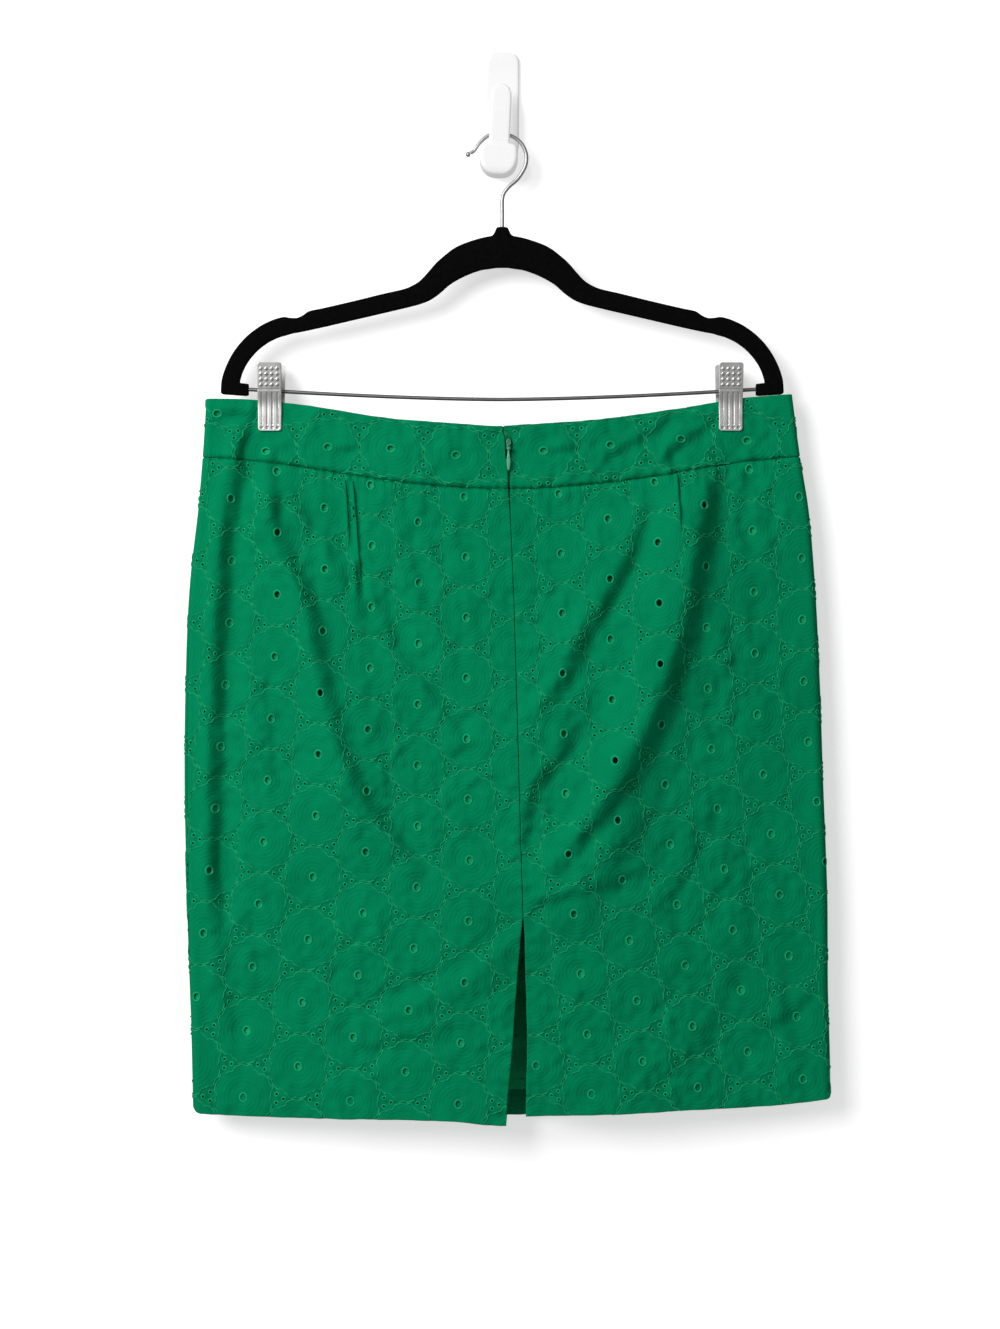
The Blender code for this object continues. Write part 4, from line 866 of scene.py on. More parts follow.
# painted shade: the cloth is darkened in the groove that the embroidery draws in along each hexagon's edge,
# between two wavy lines, where shade falls
channel_shade = cotton.math("MAXIMUM", 1 - (CELL_EDGE - cotton.math("MINIMUM", out_a, out_b)) / 1.5, 0.0)
green = cotton.mix(channel_shade * 0.42, green, (0.0004, 0.09, 0.034, 1))
edge_shade = cotton.math("LESS_THAN", from_small, SMALL + 0.25)
green = cotton.mix(edge_shade * 0.6, green, (0.0005, 0.07, 0.025, 1))
cotton.shade(Base_Color=green, Alpha=cotton.math("GREATER_THAN", from_small, SMALL))
cotton.bump(weave * WEAVE_HIGH + slubs * SLUB_HIGH + crumple * CRUMPLE_HIGH + rings * PRESSED_HIGH)

RING_MARK = 10.0  # added to the eyelets' second UV, which tells their stitches from the wavy lines'
TWIST_STEP, TWIST_HIGH = 0.5, 0.06
thread = Paint("embroidery_thread", Roughness=0.6, Specular_IOR_Level=0.15)
along, over, _ = thread.parts(thread.node("UVMap", {"uv_map": "cloth"}, {}))
stitches = thread.math("SINE", along * (2 * math.pi / TWIST_STEP))
wear = thread.noise(thread.object_place(), 60.0)
# the thread is a lighter green than the cloth, partly its own colour and partly painted sheen; the eyelets' rings
# are lighter still, a painted highlight on their raised crests
thread_green = thread.mix(wear, (0.001, 0.285, 0.117, 1), (0.002, 0.355, 0.150, 1))
ring_highlight_green = thread.mix(wear, (0.0016, 0.34, 0.142, 1), (0.003, 0.43, 0.186, 1))
thread_green = thread.mix(thread.math("GREATER_THAN", over, RING_MARK / 2), thread_green, ring_highlight_green)
thread.shade(Base_Color=thread.mix((stitches + 1) * 0.12, thread_green, (0.0006, 0.13, 0.05, 1)))
thread.bump(stitches * TWIST_HIGH)


def round_angles(count):
    return np.linspace(0, 2 * math.pi, count, endpoint=False)


def stitched(sheet, centres, reach, profile, sides, through):
    """Closed bands of stitches round centres: a profile of offsets and rises, carried round each centre at
    the reach that is given along and across. through() turns the flat places into places on the sheet."""
    angle = round_angles(sides)[:, None]
    offset, rise = np.array(profile).T
    wide, high = (np.broadcast_to(size(angle) if callable(size) else size, angle.shape) for size in reach)
    u = centres[0][:, None, None] + (wide + offset) * np.cos(angle)
    v = centres[1][:, None, None] - (high + offset) * np.sin(angle)
    across, height = through(u, v)
    points = hung(across, height, sheet.side, sheet.fabric)
    points = points + MM * rise[:, None] * hung_normals(across, height, sheet.side, sheet.fabric)
    number = np.arange(u.size).reshape(u.shape)
    after = np.roll(number, -1, axis=1)
    faces = np.stack([number[..., :-1], number[..., 1:], after[..., 1:], after[..., :-1]], axis=-1)
    inside = sheet.holds(across, height, -0.1 * MM).ravel()
    faces = faces.reshape(-1, 4)[:, :: -sheet.side]
    faces = faces[inside[faces].all(axis=1)]
    mean_reach = (wide + high) / 2
    uv = np.stack(np.broadcast_arrays(angle * mean_reach, offset, u)[:2], axis=-1)
    used = np.unique(faces)
    number = np.zeros(u.size, dtype=int)
    number[used] = np.arange(len(used))
    return points.reshape(-1, 3)[used], number[faces], uv.reshape(-1, 2)[used]


def on_sheet(u, v):
    return u * MM, v * MM


def embroider(sheet, name, large, large_reach):
    """One panel's embroidery: rings round its large eyelets and its small ones, and the wavy lines."""
    fabric = sheet.fabric
    middles = fabric.centres()
    small = []
    for end in (-1, 1):
        for turn in (0, 2, 4):
            angle = turn * math.pi / 3 + (math.pi if end < 0 else 0)
            place_u = middles[0] + end * CELL_CORNER + SMALL_FROM_CORNER * math.cos(angle)
            small.append((place_u, middles[1] - SMALL_FROM_CORNER * math.sin(angle)))
    small = tuple(np.concatenate(group) for group in zip(*small, strict=True))
    kept = sheet.holds(*fabric.hung(*small), SMALL_MARGIN)
    small = tuple(group[kept] for group in small)

    def line_reach(angle):
        swings = sum(swing * np.cos(6 * number * angle) for number, swing in enumerate(WAVY_LINE))
        return swings + WAVY_STEP * np.sin(24 * angle)

    middles_large = tuple(group / MM for group in large)
    parts = [
        stitched(sheet, middles_large, large_reach, LARGE_STITCHES, LARGE_SIDES, on_sheet),
        stitched(sheet, small, (SMALL, SMALL), SMALL_STITCHES, SMALL_SIDES, fabric.hung),
        stitched(sheet, middles, (line_reach, line_reach), LINE_STITCHES, LINE_SIDES, fabric.hung),
    ]
    for ring in parts[:2]:
        ring[2][:, 1] += RING_MARK
    count = np.cumsum([0] + [len(points) for points, _, _ in parts])
    faces = [part[1] + start for part, start in zip(parts, count, strict=False)]
    points, uv = (np.concatenate([part[key] for part in parts]) for key in (0, 2))
    piece = add_piece(name, points, faces, thread, uv)
    declare(piece)
    return piece


def open_eyelets(sheet, large, reach):
    """Cut the large eyelets: the faces inside them go, and the points round each hole move onto its edge."""
    faces = sheet.faces()
    keep = np.ones(faces.shape[:2], dtype=bool)
    wide, high = ((size + HOLE_UNDER_STITCHES) * MM for size in reach)
    for across, height in zip(*large, strict=True):
        aside, above = (sheet.across - across) / wide, (sheet.height - height) / high
        far = np.hypot(aside, above)
        if far.min() > 2:
            continue
        gone = np.hypot(*(sum(corners_of(side)) / 4 for side in (aside, above))) < 1
        gone &= sheet.depth[1:, 1:] == 0
        if not gone.any():
            continue
        keep &= ~gone
        rim = np.zeros(far.shape, dtype=bool)
        rim.ravel()[faces[gone].ravel()] = True
        rim[1:-1, 1:-1] &= ~np.logical_and.reduce(corners_of(gone))
        new_across = across + aside[rim] / far[rim] * wide
        new_height = height + above[rim] / far[rim] * high
        sheet.across[rim], sheet.height[rim] = new_across, new_height
        sheet.points[rim] = hung(new_across, new_height, sheet.side, sheet.fabric)
    return keep


def add_cotton(name, node, half, top, bottom, fabric, spacing, turned_in, large, reach):
    """One piece of eyelet cotton with its embroidery; turned_in are the paths of its top and bottom edges."""
    side, left, right = span(half)
    sheet = Sheet(side, left, right, top, bottom, spacing, (*SIDE_EDGES[half], *turned_in), fabric)
    whole = sheet.holds(*large, (reach[0] + LARGE_STITCHES[-1][0]) * MM + LARGE_MARGIN)
    large = tuple(group[whole] for group in large)
    keep = open_eyelets(sheet, large, reach)
    uv = np.stack(fabric.flat(sheet.across, sheet.height), axis=-1)
    piece = sheet.cover(f"{name}_cloth", cotton, keep, uv)
    embroidery = embroider(sheet, f"{name}_embroidery", large, reach)
    declare_cloth(piece, node)


for name, (node, size, spacing) in PANELS.items():
    fabric = LATTICES[name]
    large = fabric.hung(*fabric.centres())
    add_cotton(
        name, node, name, WAIST_SEAM, HEMS[name], fabric, spacing, (SEAM_EDGE, HEM_EDGE), large, LARGE,
    )  # fmt: skip


# ================================================================ the waistband
# The outer band, of the same cotton cut across the cloth, in three pieces: its large eyelets run along it.
# It is turned in along the top and sewn to the panels in the waist seam.

# the large eyelets along each band: number, x, and how far over the waist seam
BAND_LATTICES = {
    "front": [
        (-6, -306, -4), (-5, -255, 4), (-4, -204, 12), (-3, -153, 20), (-2, -102, 26), (-1, -51, 28), (0, 0, 28),
        (1, 51, 28), (2, 102, 26), (3, 153, 20), (4, 204, 12), (5, 255, 4), (6, 306, -4),
    ],
    "back_left": [
        (-6, -289, 0), (-5, -238, 4), (-4, -187.5, 8.6), (-3, -137.9, 19.3), (-2, -87.8, 26), (-1, -35.9, 25.6),
        (0, 16, 27),
    ],
    "back_right": [
        (-1, -19, 29.6), (0, 33.6, 29.6), (1, 86.7, 29.6), (2, 142.8, 26.4), (3, 195.8, 16.7), (4, 247, 6),
        (5, 298, -4),
    ],
}  # fmt: skip
STRAY_EYELET = (-226.2, 35.5)
TOP_EDGE = path([(7, 1.2), (3, 1.15), *ROUND_EDGE])
BANDS = {  # the flat size in mm, and the distance from point to point of the mesh
    "front": ((480, 60), 1.8 * MM),
    "back_left": ((256, 62), 1.4 * MM),
    "back_right": ((246, 64), 1.4 * MM),
}


class BandFabric(Fabric):
    """The lattice turned a quarter: its rows run along the band, and one column lies along its middle."""

    def __init__(self, rows):
        self.number, x, over = np.array(rows, dtype=float).T
        self.x, self.over = x * MM, over * MM

    def line(self, x):
        return read(WAIST_SEAM, "x", "height", x) + np.interp(x, self.x, self.over)

    def flat(self, across, height):
        x = middle(height) + across
        return CELL_WIDE + (height - self.line(x)) / MM, np.interp(x, self.x, self.number) * CELL_HIGH

    def hung(self, u, v):
        x = np.interp(v / CELL_HIGH, self.number, self.x)
        height = self.line(x) + (u - CELL_WIDE) * MM
        return x - middle(height), height

    def centres(self):
        column, row = np.meshgrid(np.arange(-1, 4), self.number)
        return CELL_WIDE * column.ravel(), CELL_HIGH * (row + 0.5 * (column % 2 == 0)).ravel()


for name, (size, spacing) in BANDS.items():
    fabric = BandFabric(BAND_LATTICES[name])
    x, over = fabric.x, fabric.over
    if name == "back_left":
        x, over = (np.append(group, stray * MM) for group, stray in zip((x, over), STRAY_EYELET, strict=True))
    height = read(WAIST_SEAM, "x", "height", x) + over
    large, band = (x - middle(height), height), f"waistband_{name}"
    add_cotton(
        band, band, name, TOPS[name], WAIST_SEAM, fabric, spacing, (TOP_EDGE, SEAM_EDGE), large, LARGE[::-1],
    )  # fmt: skip


# ================================================================ the darts
# Two darts shape each waist at the back. Each is a tuck sewn on the inside and pressed towards the middle,
# so that outside it shows as a fine step in the cloth that runs out to nothing.

DARTS = {
    "left": ("back_left", [(-117.9, -311.5), (-115.8, -336), (-113.5, -365), (-110.5, -396), (-108.5, -412)]),
    "left_short": ("back_left", [(-123.6, -311.0), (-122.4, -335), (-120.8, -356), (-119.4, -368)]),
    "right": ("back_right", [(139.7, -306.5), (140.2, -322), (141.3, -340), (142.4, -357)]),
}
TUCK = [(-3.8, -0.25), (-2.6, 0.3), (-1.5, 1.2), (-0.6, 1.45), (-0.1, 1.2), (0.12, 0.2), (0.22, -0.8)]
TUCK_STEPS = 60
TUCK_SLIM, TUCK_FADES = 0.3, 0.55  # how narrow it ends, and from which share of the way it sinks
TUCK_LOWER, TUCK_SINKS = 0.1 * MM, 0.12 * MM

for name, (half, points) in DARTS.items():
    line = curve(points[::-1])
    offset, rise = np.array(TUCK).T * MM
    height = np.linspace(line["height"][-1], line["height"][0], TUCK_STEPS)[:, None]
    size = 1 - smooth_step(TUCK_FADES, 1.0, np.linspace(0, 1, TUCK_STEPS)[:, None])
    wide = offset * (TUCK_SLIM + (1 - TUCK_SLIM) * size)
    across = read(line, "height", "x", height) + wide - middle(height)
    level = height + 0 * across
    fabric = LATTICES[half]
    lift = (rise - TUCK_LOWER) * size - TUCK_SINKS * (1 - size)
    points = hung(across, level, -1, fabric) + lift[..., None] * hung_normals(across, level, -1, fabric)
    faces = np.stack(corners_of(np.arange(across.size).reshape(across.shape)), axis=-1)
    uv = np.stack(fabric.flat(across, level), axis=-1)
    declare(add_piece(f"dart_{name}", points, [faces.reshape(-1, 4)], cotton, uv))


# ================================================================ the zip
# A concealed zip in the middle seam: two woven tapes behind the cotton, a nylon coil that holds them
# together, a lacquered slider in the eye at the waist, and its pull tab, which turns on the slider's pin.

ZIP_TAPE_WIDTH = 10 * MM
ZIP_TOP, ZIP_LOW = -268 * MM, -470 * MM
TAPES_MEET = (-277 * MM, -273 * MM)
TAPE_UNDER = 1.3 * MM
TAPE_SPACING = 1.4 * MM
TAPE_RIBS = 0.0008
SLIDER = np.array((5.6, -27.3, -282.4)) * MM
SLIDER_HALF = np.array((1.9, 2.9, 4.8)) * MM
BASE_OFFSET, BASE_HALF = np.array([(0, 2.1, 0), (3.1, 0.8, 4.5)]) * MM
PIN = np.array((5.6, -31.8, -285.9)) * MM
PIN_STOPS = (-1.8, -0.6, 0.6, 1.8)
PIN_RADIUS = 0.5 * MM
CHEEK_ASIDE = 1.75
CHEEK_HALF = np.array((0.33, 1.5, 1.15)) * MM
CROWN_OFFSET = np.array((0, -3.0, 1.8)) * MM
CROWN_WIDE, CROWN_HIGH, CROWN_WIRE = 1.5, 1.9, 0.36 * MM
COIL_RADIUS = 0.75 * MM
COIL_WIDE, COIL_DEEP = 1.5, 0.7  # its oval, in radii
COIL_STEP = 1.3 * MM
COIL_BEHIND = 2.2 * MM
COIL_WIRE = 0.22 * MM
COIL_FROM_SLIDER = 5 * MM
PULL_OUTLINE = table(
    ("down", "half_width"),
    [
        (0.95, 0.1), (1.0, 0.5), (1.6, 0.62), (3.4, 0.72), (6, 1.18), (8.8, 1.58), (12, 1.55), (15.2, 1.12),
        (17.2, 0.55), (17.6, 0.08),
    ],
)  # fmt: skip
PULL_ROWS, PULL_SIDES = 44, 20
EYE_SECTION = MM * np.array(
    [(0.82, -0.9), (0.95, -1.1), (1.2, -1.1), (1.32, -0.9), (1.32, 0.9), (1.2, 1.1), (0.95, 1.1), (0.82, 0.9)]
)
PULL_HALF_THICK = 0.42 * MM
PULL_THINS_TO = 0.45 * MM  # the half width under which it thins to nothing
PULL_SLIMS, PULL_SLIMS_AT = 0.25, (4 * MM, 9 * MM)


def loops(shape, close_rows=False):
    """Corner numbers of a grid whose columns close into a ring, and whose rows may close as well."""
    number = np.arange(shape[0] * shape[1]).reshape(shape)
    after = np.roll(number, -1, axis=1)
    below, below_after = np.roll(number, -1, axis=0), np.roll(after, -1, axis=0)
    faces = np.stack([number, after, below_after, below], axis=-1)
    return (faces if close_rows else faces[:-1]).reshape(-1, 4)


def closed(shape, turned=False):
    """The faces of a grid that is a tube with both its ends closed; turned ones face the other way."""
    first = list(range(shape[1]))[::-1]
    last = [corner + (shape[0] - 1) * shape[1] for corner in first[::-1]]
    step = -1 if turned else 1
    return [loops(shape)[:, ::step], [first[::step], last[::step]]]


def tube(line, radius, sides, across=(0, 1, 0)):
    """A round wire along a line: each ring is point + radius * (cos * n + sin * b), where b is the part of
    the across direction at right angles to the line, and n is at right angles to both. Its ends are closed."""
    line = np.asarray(line, dtype=float)
    ahead = unit(np.gradient(line, axis=0))
    across = np.broadcast_to(np.asarray(across, dtype=float), line.shape)
    b = unit(across - np.sum(across * ahead, axis=1, keepdims=True) * ahead)
    n = np.cross(b, ahead)
    angle = round_angles(sides)[:, None]
    ring = np.cos(angle) * n[:, None] + np.sin(angle) * b[:, None]
    points = line[:, None] + radius * ring
    return points.reshape(-1, 3), closed(points.shape[:2])


def pillow(centre, half, square, rings=20, sides=28):
    """A closed rounded block: a ball whose sines and cosines are raised to 2 / square, scaled to half."""
    polar = np.linspace(0, math.pi, rings)[1:-1, None]
    angle = round_angles(sides)

    def power(value):
        return np.sign(value) * np.abs(value) ** (2 / square)

    out = power(np.sin(polar))
    ball = out * power(np.cos(angle)), out * power(np.sin(angle)), power(np.cos(polar))
    points = np.stack(np.broadcast_arrays(*ball), axis=-1) * half + centre
    return points.reshape(-1, 3), closed(points.shape[:2], turned=True)


def joined(*parts):
    """Several shapes as one: their points in a row, and their faces renumbered."""
    start, points, faces = 0, [], []
    for some, lists in parts:
        points.append(some)
        faces += [[[corner + start for corner in face] for face in group] for group in lists]
        start += len(some)
    return np.concatenate(points), faces


tape_paint = Paint("woven_tape", Roughness=0.65, Specular_IOR_Level=0.25)
place = tape_paint.object_place()
x, y, z = tape_paint.parts(place)
rows = tape_paint.math("SINE", (z + abs(x - SLIDER[0]) * 0.6) * (2 * math.pi / TAPE_RIBS))
tape_green = tape_paint.mix((rows + 1) * 0.3, (0.002, 0.19, 0.075, 1), (0.001, 0.11, 0.043, 1))
tape_paint.shade(Base_Color=tape_green)
tape_paint.bump(rows * 0.05 + tape_paint.noise(place, 1200.0) * 0.05)


def tape_edge(end):
    """The inner edge of a tape: that of the opening, and over the slider the middle of the opening."""

    def edge(height):
        halves = opening_edge(end)(height), opening_edge(-end)(height)
        met = smooth_step(*TAPES_MEET, height)
        return halves[0] * (1 - met) + (halves[0] + halves[1]) / 2 * met

    return edge


tape_line = {"x": np.array([-1.0, 1.0])}
for name, end in (("left", -1), ("right", 1)):
    inner, outer = tape_edge(end), opening_edge(end, ZIP_TAPE_WIDTH)
    top, low = ({**tape_line, "height": np.array([level, level])} for level in (ZIP_TOP, ZIP_LOW))
    pair = (outer, inner) if end < 0 else (inner, outer)
    sheet = Sheet(-1, *pair, top, low, TAPE_SPACING, [CUT_EDGE] * 4, under=TAPE_UNDER)
    piece = sheet.cover(f"zip_tape_{name}_cloth", tape_paint)
    declare_cloth(piece, f"zip_tape_{name}")

nylon = Paint("nylon_coil", Roughness=0.35)
shades = nylon.noise(nylon.object_place(), 300.0)
nylon.shade(Base_Color=nylon.mix(shades, (0.003, 0.15, 0.06, 1), (0.006, 0.24, 0.1, 1)))
coil_top = SLIDER[2] - COIL_FROM_SLIDER
turns = round((coil_top - ZIP_LOW) / COIL_STEP)
turn = np.linspace(0, 2 * math.pi * turns, turns * 8 + 1)
height = coil_top - COIL_STEP * turn / (2 * math.pi)
opening = (opening_edge(-1)(height) + opening_edge(1)(height)) / 2
spine = hung(opening, height, -1) - COIL_BEHIND * hung_normals(opening, height, -1)
oval = COIL_WIDE * np.cos(turn), COIL_DEEP * np.sin(turn), 0 * turn
spine = spine + COIL_RADIUS * np.stack(oval, axis=-1)
declare(add_piece("zip_coil", *tube(spine, COIL_WIRE, 5, (0, 0, 1)), nylon))

lacquer = Paint("green_lacquer", Roughness=0.32, Metallic=0.35)
worn = lacquer.noise(lacquer.object_place(), 420.0, 3.0)
lacquer_green = lacquer.mix(worn, (0.05, 0.30, 0.16, 1), (0.12, 0.46, 0.28, 1))
lacquer.shade(Base_Color=lacquer_green, Roughness=worn * 0.25 + 0.22)
lacquer.bump(worn * 0.06)
# painted shade: the slider's body is a darker, matt copy of the lacquer, which stands in for the shade that it
# sits in within the eye; the crown and the pull keep the lacquer's own colour
shaded_lacquer = Paint("shaded_lacquer", Roughness=0.4)
worn = shaded_lacquer.noise(shaded_lacquer.object_place(), 420.0, 3.0)
shaded_lacquer.shade(Base_Color=shaded_lacquer.mix(worn, (0.004, 0.10, 0.045, 1), (0.012, 0.20, 0.09, 1)))

body = pillow(SLIDER, SLIDER_HALF, 3.6, 18, 24)
base = pillow(SLIDER + BASE_OFFSET, BASE_HALF, 5, 12, 20)
cheek_places = [PIN + np.array((end * CHEEK_ASIDE, 0.5, 0)) * MM for end in (-1, 1)]
cheeks = [pillow(place, CHEEK_HALF, 3, 10, 14) for place in cheek_places]
pin = tube(PIN + np.outer(PIN_STOPS, (MM, 0, 0)), PIN_RADIUS, 12, (0, 0, 1))
slider = add_piece("zip_slider_metal", *joined(body, base, *cheeks, pin), shaded_lacquer)
declare(slider, "zip_slider")
ring_turn = round_angles(28)
oval = CROWN_WIDE * np.cos(ring_turn), 0 * ring_turn, CROWN_HIGH * np.sin(ring_turn)
rim_line = SLIDER + CROWN_OFFSET + MM * np.stack(oval, axis=-1)
rim = tube(np.vstack([rim_line, rim_line[:1]]), CROWN_WIRE, 8)
declare(add_piece("zip_slider_crown", *rim, lacquer))

# the tab is a drop-shaped plate with oval sections, and its eye is a round ring about the pin
down = np.linspace(PULL_OUTLINE["down"][0], PULL_OUTLINE["down"][-1], PULL_ROWS)
half = np.interp(down, PULL_OUTLINE["down"], PULL_OUTLINE["half_width"])
angle = round_angles(PULL_SIDES)
thick = PULL_HALF_THICK * np.minimum(1, half / PULL_THINS_TO)
thick = thick * (1 - PULL_SLIMS * smooth_step(*PULL_SLIMS_AT, down))
oval = [
    np.outer(half, np.cos(angle)),
    np.outer(thick, np.sign(np.sin(angle)) * np.abs(np.sin(angle)) ** 0.6),
    np.broadcast_to(-down[:, None], (PULL_ROWS, PULL_SIDES)),
]
plate = (np.stack(oval, axis=-1) + PIN).reshape(-1, 3), closed((PULL_ROWS, PULL_SIDES), turned=True)
shape = len(ring_turn), len(EYE_SECTION)
eye = [
    np.broadcast_to(EYE_SECTION[:, 1], shape),
    np.outer(np.cos(ring_turn), EYE_SECTION[:, 0]),
    np.outer(np.sin(ring_turn), EYE_SECTION[:, 0]),
]
eye = (np.stack(eye, axis=-1) + PIN).reshape(-1, 3), [loops(shape, True)[:, ::-1]]
declare(add_piece("zip_pull_tab", *joined(plate, eye), lacquer), "zip_pull", "pull_tab")


# ================================================================ the hanger's body
# A flat moulded hanger covered in black flock, thick at the neck and rounded at its edges. Its feet turn in
# to hold the trouser bar. Half of it is given as pairs of points on its upper and its lower outline.

HANG_Y = -20.5 * MM
HANGER_MIDDLE = 0.6 * MM
HANGER_HALF_THICK = 2.75 * MM
HANGER_EDGE = 2.0 * MM
HANGER_SECTIONS = [  # x and height on the upper line, then x and height on the under line
    (0, -108.4, 0, -141.1), (3.7, -108.7, 3.6, -141.1), (4.9, -110.0, 5.0, -141.2), (5.9, -112.2, 6.4, -141.4),
    (7.2, -114.5, 8.0, -141.6), (9.2, -115.7, 9.6, -141.9), (12.6, -116.3, 11.8, -142.2),
    (19.7, -118.0, 16.0, -142.8), (27.5, -120.5, 20.5, -144.1), (34.5, -123.3, 25.5, -145.9),
    (40.5, -126.8, 30.5, -148.1),
    (46.5, -131.6, 36.5, -151.2), (52.0, -136.4, 42.5, -155.1), (57.0, -142.0, 48.0, -160.0),
    (61.5, -147.2, 52.5, -163.6), (66.0, -151.6, 57.5, -166.8), (71.5, -155.1, 64.5, -169.7),
    (79.0, -158.1, 74.0, -172.3), (94.0, -161.5, 90.0, -176.1), (118, -167.4, 114, -181.7),
    (142, -173.0, 138, -187.3), (153.7, -175.5, 150, -190.0), (158.5, -178.6, 156.5, -191.4),
    (163.5, -180.9, 161.5, -192.4), (169.0, -180.9, 167.5, -193.5), (174.0, -180.2, 172.5, -195.0),
    (179.5, -181.4, 177.0, -196.2), (185.0, -183.4, 182.0, -198.3), (192.7, -187.3, 187.5, -201.3),
    (201.0, -193.2, 194.3, -206.5), (208.0, -200.0, 199.8, -212.4), (213.8, -207.4, 204.0, -218.4),
    (218.4, -215.5, 206.9, -224.4), (221.6, -223.0, 208.4, -229.2), (223.4, -229.0, 209.0, -231.6),
    (223.9, -231.6, 208.4, -232.9), (224.1, -233.4, 203.2, -233.6), (224.2, -234.8, 202.1, -234.6),
    (224.4, -239.6, 202.0, -240.9), (224.0, -241.0, 202.2, -242.5), (222.6, -241.9, 203.6, -243.2),
]  # fmt: skip
SECTION_STEPS = 5
END_SLIM = 0.28  # the share of its thickness that it loses towards its ends


def smooth_lines(columns, rows, count):
    """Each column's values in metres, at this many even steps from the first row to the last."""
    knots = {"row": np.arange(len(rows), dtype=float), **table(columns, rows)}
    at = np.linspace(0, len(rows) - 1, count)
    return [read(knots, "row", column, at) for column in columns]


def rounded_section(half_long, half_short, radius, steps=5):
    """Offsets round a rectangle with rounded corners, as arrays (stations, points): corner + r * (cos, sin)."""
    quarter = np.linspace(0, math.pi / 2, steps)
    angle = np.concatenate([quarter + turn * math.pi / 2 for turn in range(4)])
    corner = np.repeat(np.arange(4) * math.pi / 2 + math.pi / 4, steps)
    radius = np.minimum(radius, np.minimum(half_long, half_short))[:, None]
    long = np.sign(np.cos(corner)) * (half_long[:, None] - radius) + radius * np.cos(angle)
    short = np.sign(np.sin(corner)) * (half_short[:, None] - radius) + radius * np.sin(angle)
    return long, short


flock = Paint("black_flock", Roughness=0.95, Specular_IOR_Level=0.03, Sheen_Weight=0.03, Sheen_Roughness=0.4)
place = flock.object_place()
lint = flock.noise(place, 260.0, 4.0)
flock.shade(Base_Color=flock.mix(lint, (0.0006, 0.0006, 0.0007, 1), (0.004, 0.004, 0.0042, 1)))
flock.bump(flock.noise(place, 2400.0) * 0.12 + lint * 0.15)

count = (len(HANGER_SECTIONS) - 1) * SECTION_STEPS + 1
x, z, under_x, under_z = smooth_lines(("x", "z", "under_x", "under_z"), HANGER_SECTIONS, count)
lines = (np.stack(pair, axis=-1) for pair in ((x, z), (under_x, under_z)))
upper, under = (np.concatenate([line[:0:-1] * (-1.0, 1.0), line]) for line in lines)
centre, reach = (upper + under) / 2, (upper - under) / 2
length = np.linalg.norm(reach, axis=1)
near_end = np.minimum(np.arange(len(length)), np.arange(len(length))[::-1])
rounding = np.clip(near_end / (2 * SECTION_STEPS), 0, 1)
thick = HANGER_HALF_THICK * (1 - END_SLIM + END_SLIM * np.sqrt(rounding * (2 - rounding)))
long, short = rounded_section(length, thick, HANGER_EDGE)
place = centre[:, None] + unit(reach)[:, None] * long[..., None]
points = np.stack([place[..., 0] + HANGER_MIDDLE, HANG_Y + short, place[..., 1]], axis=-1)
hanger = add_piece("hanger_flocked_body", points, closed(points.shape[:2], turned=True), flock, sharp=55)
declare(hanger, "hanger_body")


# ================================================================ the hook and the trouser bar
# Two bright plated steel wires: the hook, which swivels in the hanger's neck and ends in a small bead, and
# the bar between the feet, which bows down a little.

WIRE_RADIUS = 1.5 * MM
HOOK_WIRE = [
    (0.6, -117.0), (0.7, -100.0), (1.0, -84.5), (5.4, -77.0), (13.2, -69.6), (18.9, -60.0), (19.7, -50.5),
    (15.6, -41.6), (8.0, -36.0), (-1.4, -33.9), (-10.6, -35.8), (-17.4, -41.4), (-21.6, -47.4), (-24.6, -49.4),
]  # fmt: skip
WIRE_STEPS, WIRE_SIDES = 157, 16
BAR_STEPS = 121
BEAD_BEYOND = 0.3 * MM
BEAD_RADIUS = 2.0 * MM
BAR_LOW = -246 * MM
BAR_RISE = 8 * MM
BAR_HALF = 201 * MM
BAR_BOW = 1.6
BAR_IN_FOOT = 8 * MM


def bar_height(x):
    """Height of the bar's axis: low + rise * (distance / half) ** 1.6, and level inside the feet."""
    return BAR_LOW + BAR_RISE * np.minimum(np.abs(x) / BAR_HALF, 1) ** BAR_BOW


def plated_wire(name, darkest, lightest):
    """Plated wire with smears between two greys."""
    paint = Paint(name, Metallic=1.0)
    place = paint.object_place()
    smears = paint.noise(place, 90.0, 3.0)
    grey = paint.mix(smears, (*[darkest] * 3, 1), (*[lightest] * 3, 1))
    paint.shade(Base_Color=grey, Roughness=smears * 0.14 + 0.36)
    paint.bump(paint.noise(place, 700.0) * 0.02)
    return paint


plated = plated_wire("plated_steel", 0.34, 0.46)

x, z = smooth_lines(("x", "z"), HOOK_WIRE, WIRE_STEPS)
line = np.stack([x, np.full(x.shape, HANG_Y), z], axis=-1)
hook = add_piece("hanger_hook_wire", *tube(line, WIRE_RADIUS, WIRE_SIDES), plated)
last = line[-1] + unit(line[-1] - line[-3]) * (BEAD_RADIUS + BEAD_BEYOND)
bead = add_piece("hanger_hook_bead", *pillow(last, np.full(3, BEAD_RADIUS), 2.2, 16, 20), plated)
x = np.linspace(-1, 1, BAR_STEPS) * (BAR_HALF + BAR_IN_FOOT)
line = np.stack([x, np.full(x.shape, HANG_Y), bar_height(x)], axis=-1)
# painted shade: the bar is a darker copy of the same plated steel, which stands in for the darker reflection that
# it shows
bar_shaded_steel = plated_wire("shaded_plated_steel", 0.16, 0.26)
bar = add_piece("trouser_bar_wire", *tube(line, WIRE_RADIUS, WIRE_SIDES), bar_shaded_steel)
for piece, node in ((hook, "hanger_hook"), (bead, "hook_tip"), (bar, "trouser_bar")):
    declare(piece, node)


# ================================================================ the clips
# Two spring clips that slide on the bar. A jaw is a bent plate of plated sheet, ribbed along its grip and
# studded for the thumb, with two ears that turn on the bar, round which the spring is coiled.

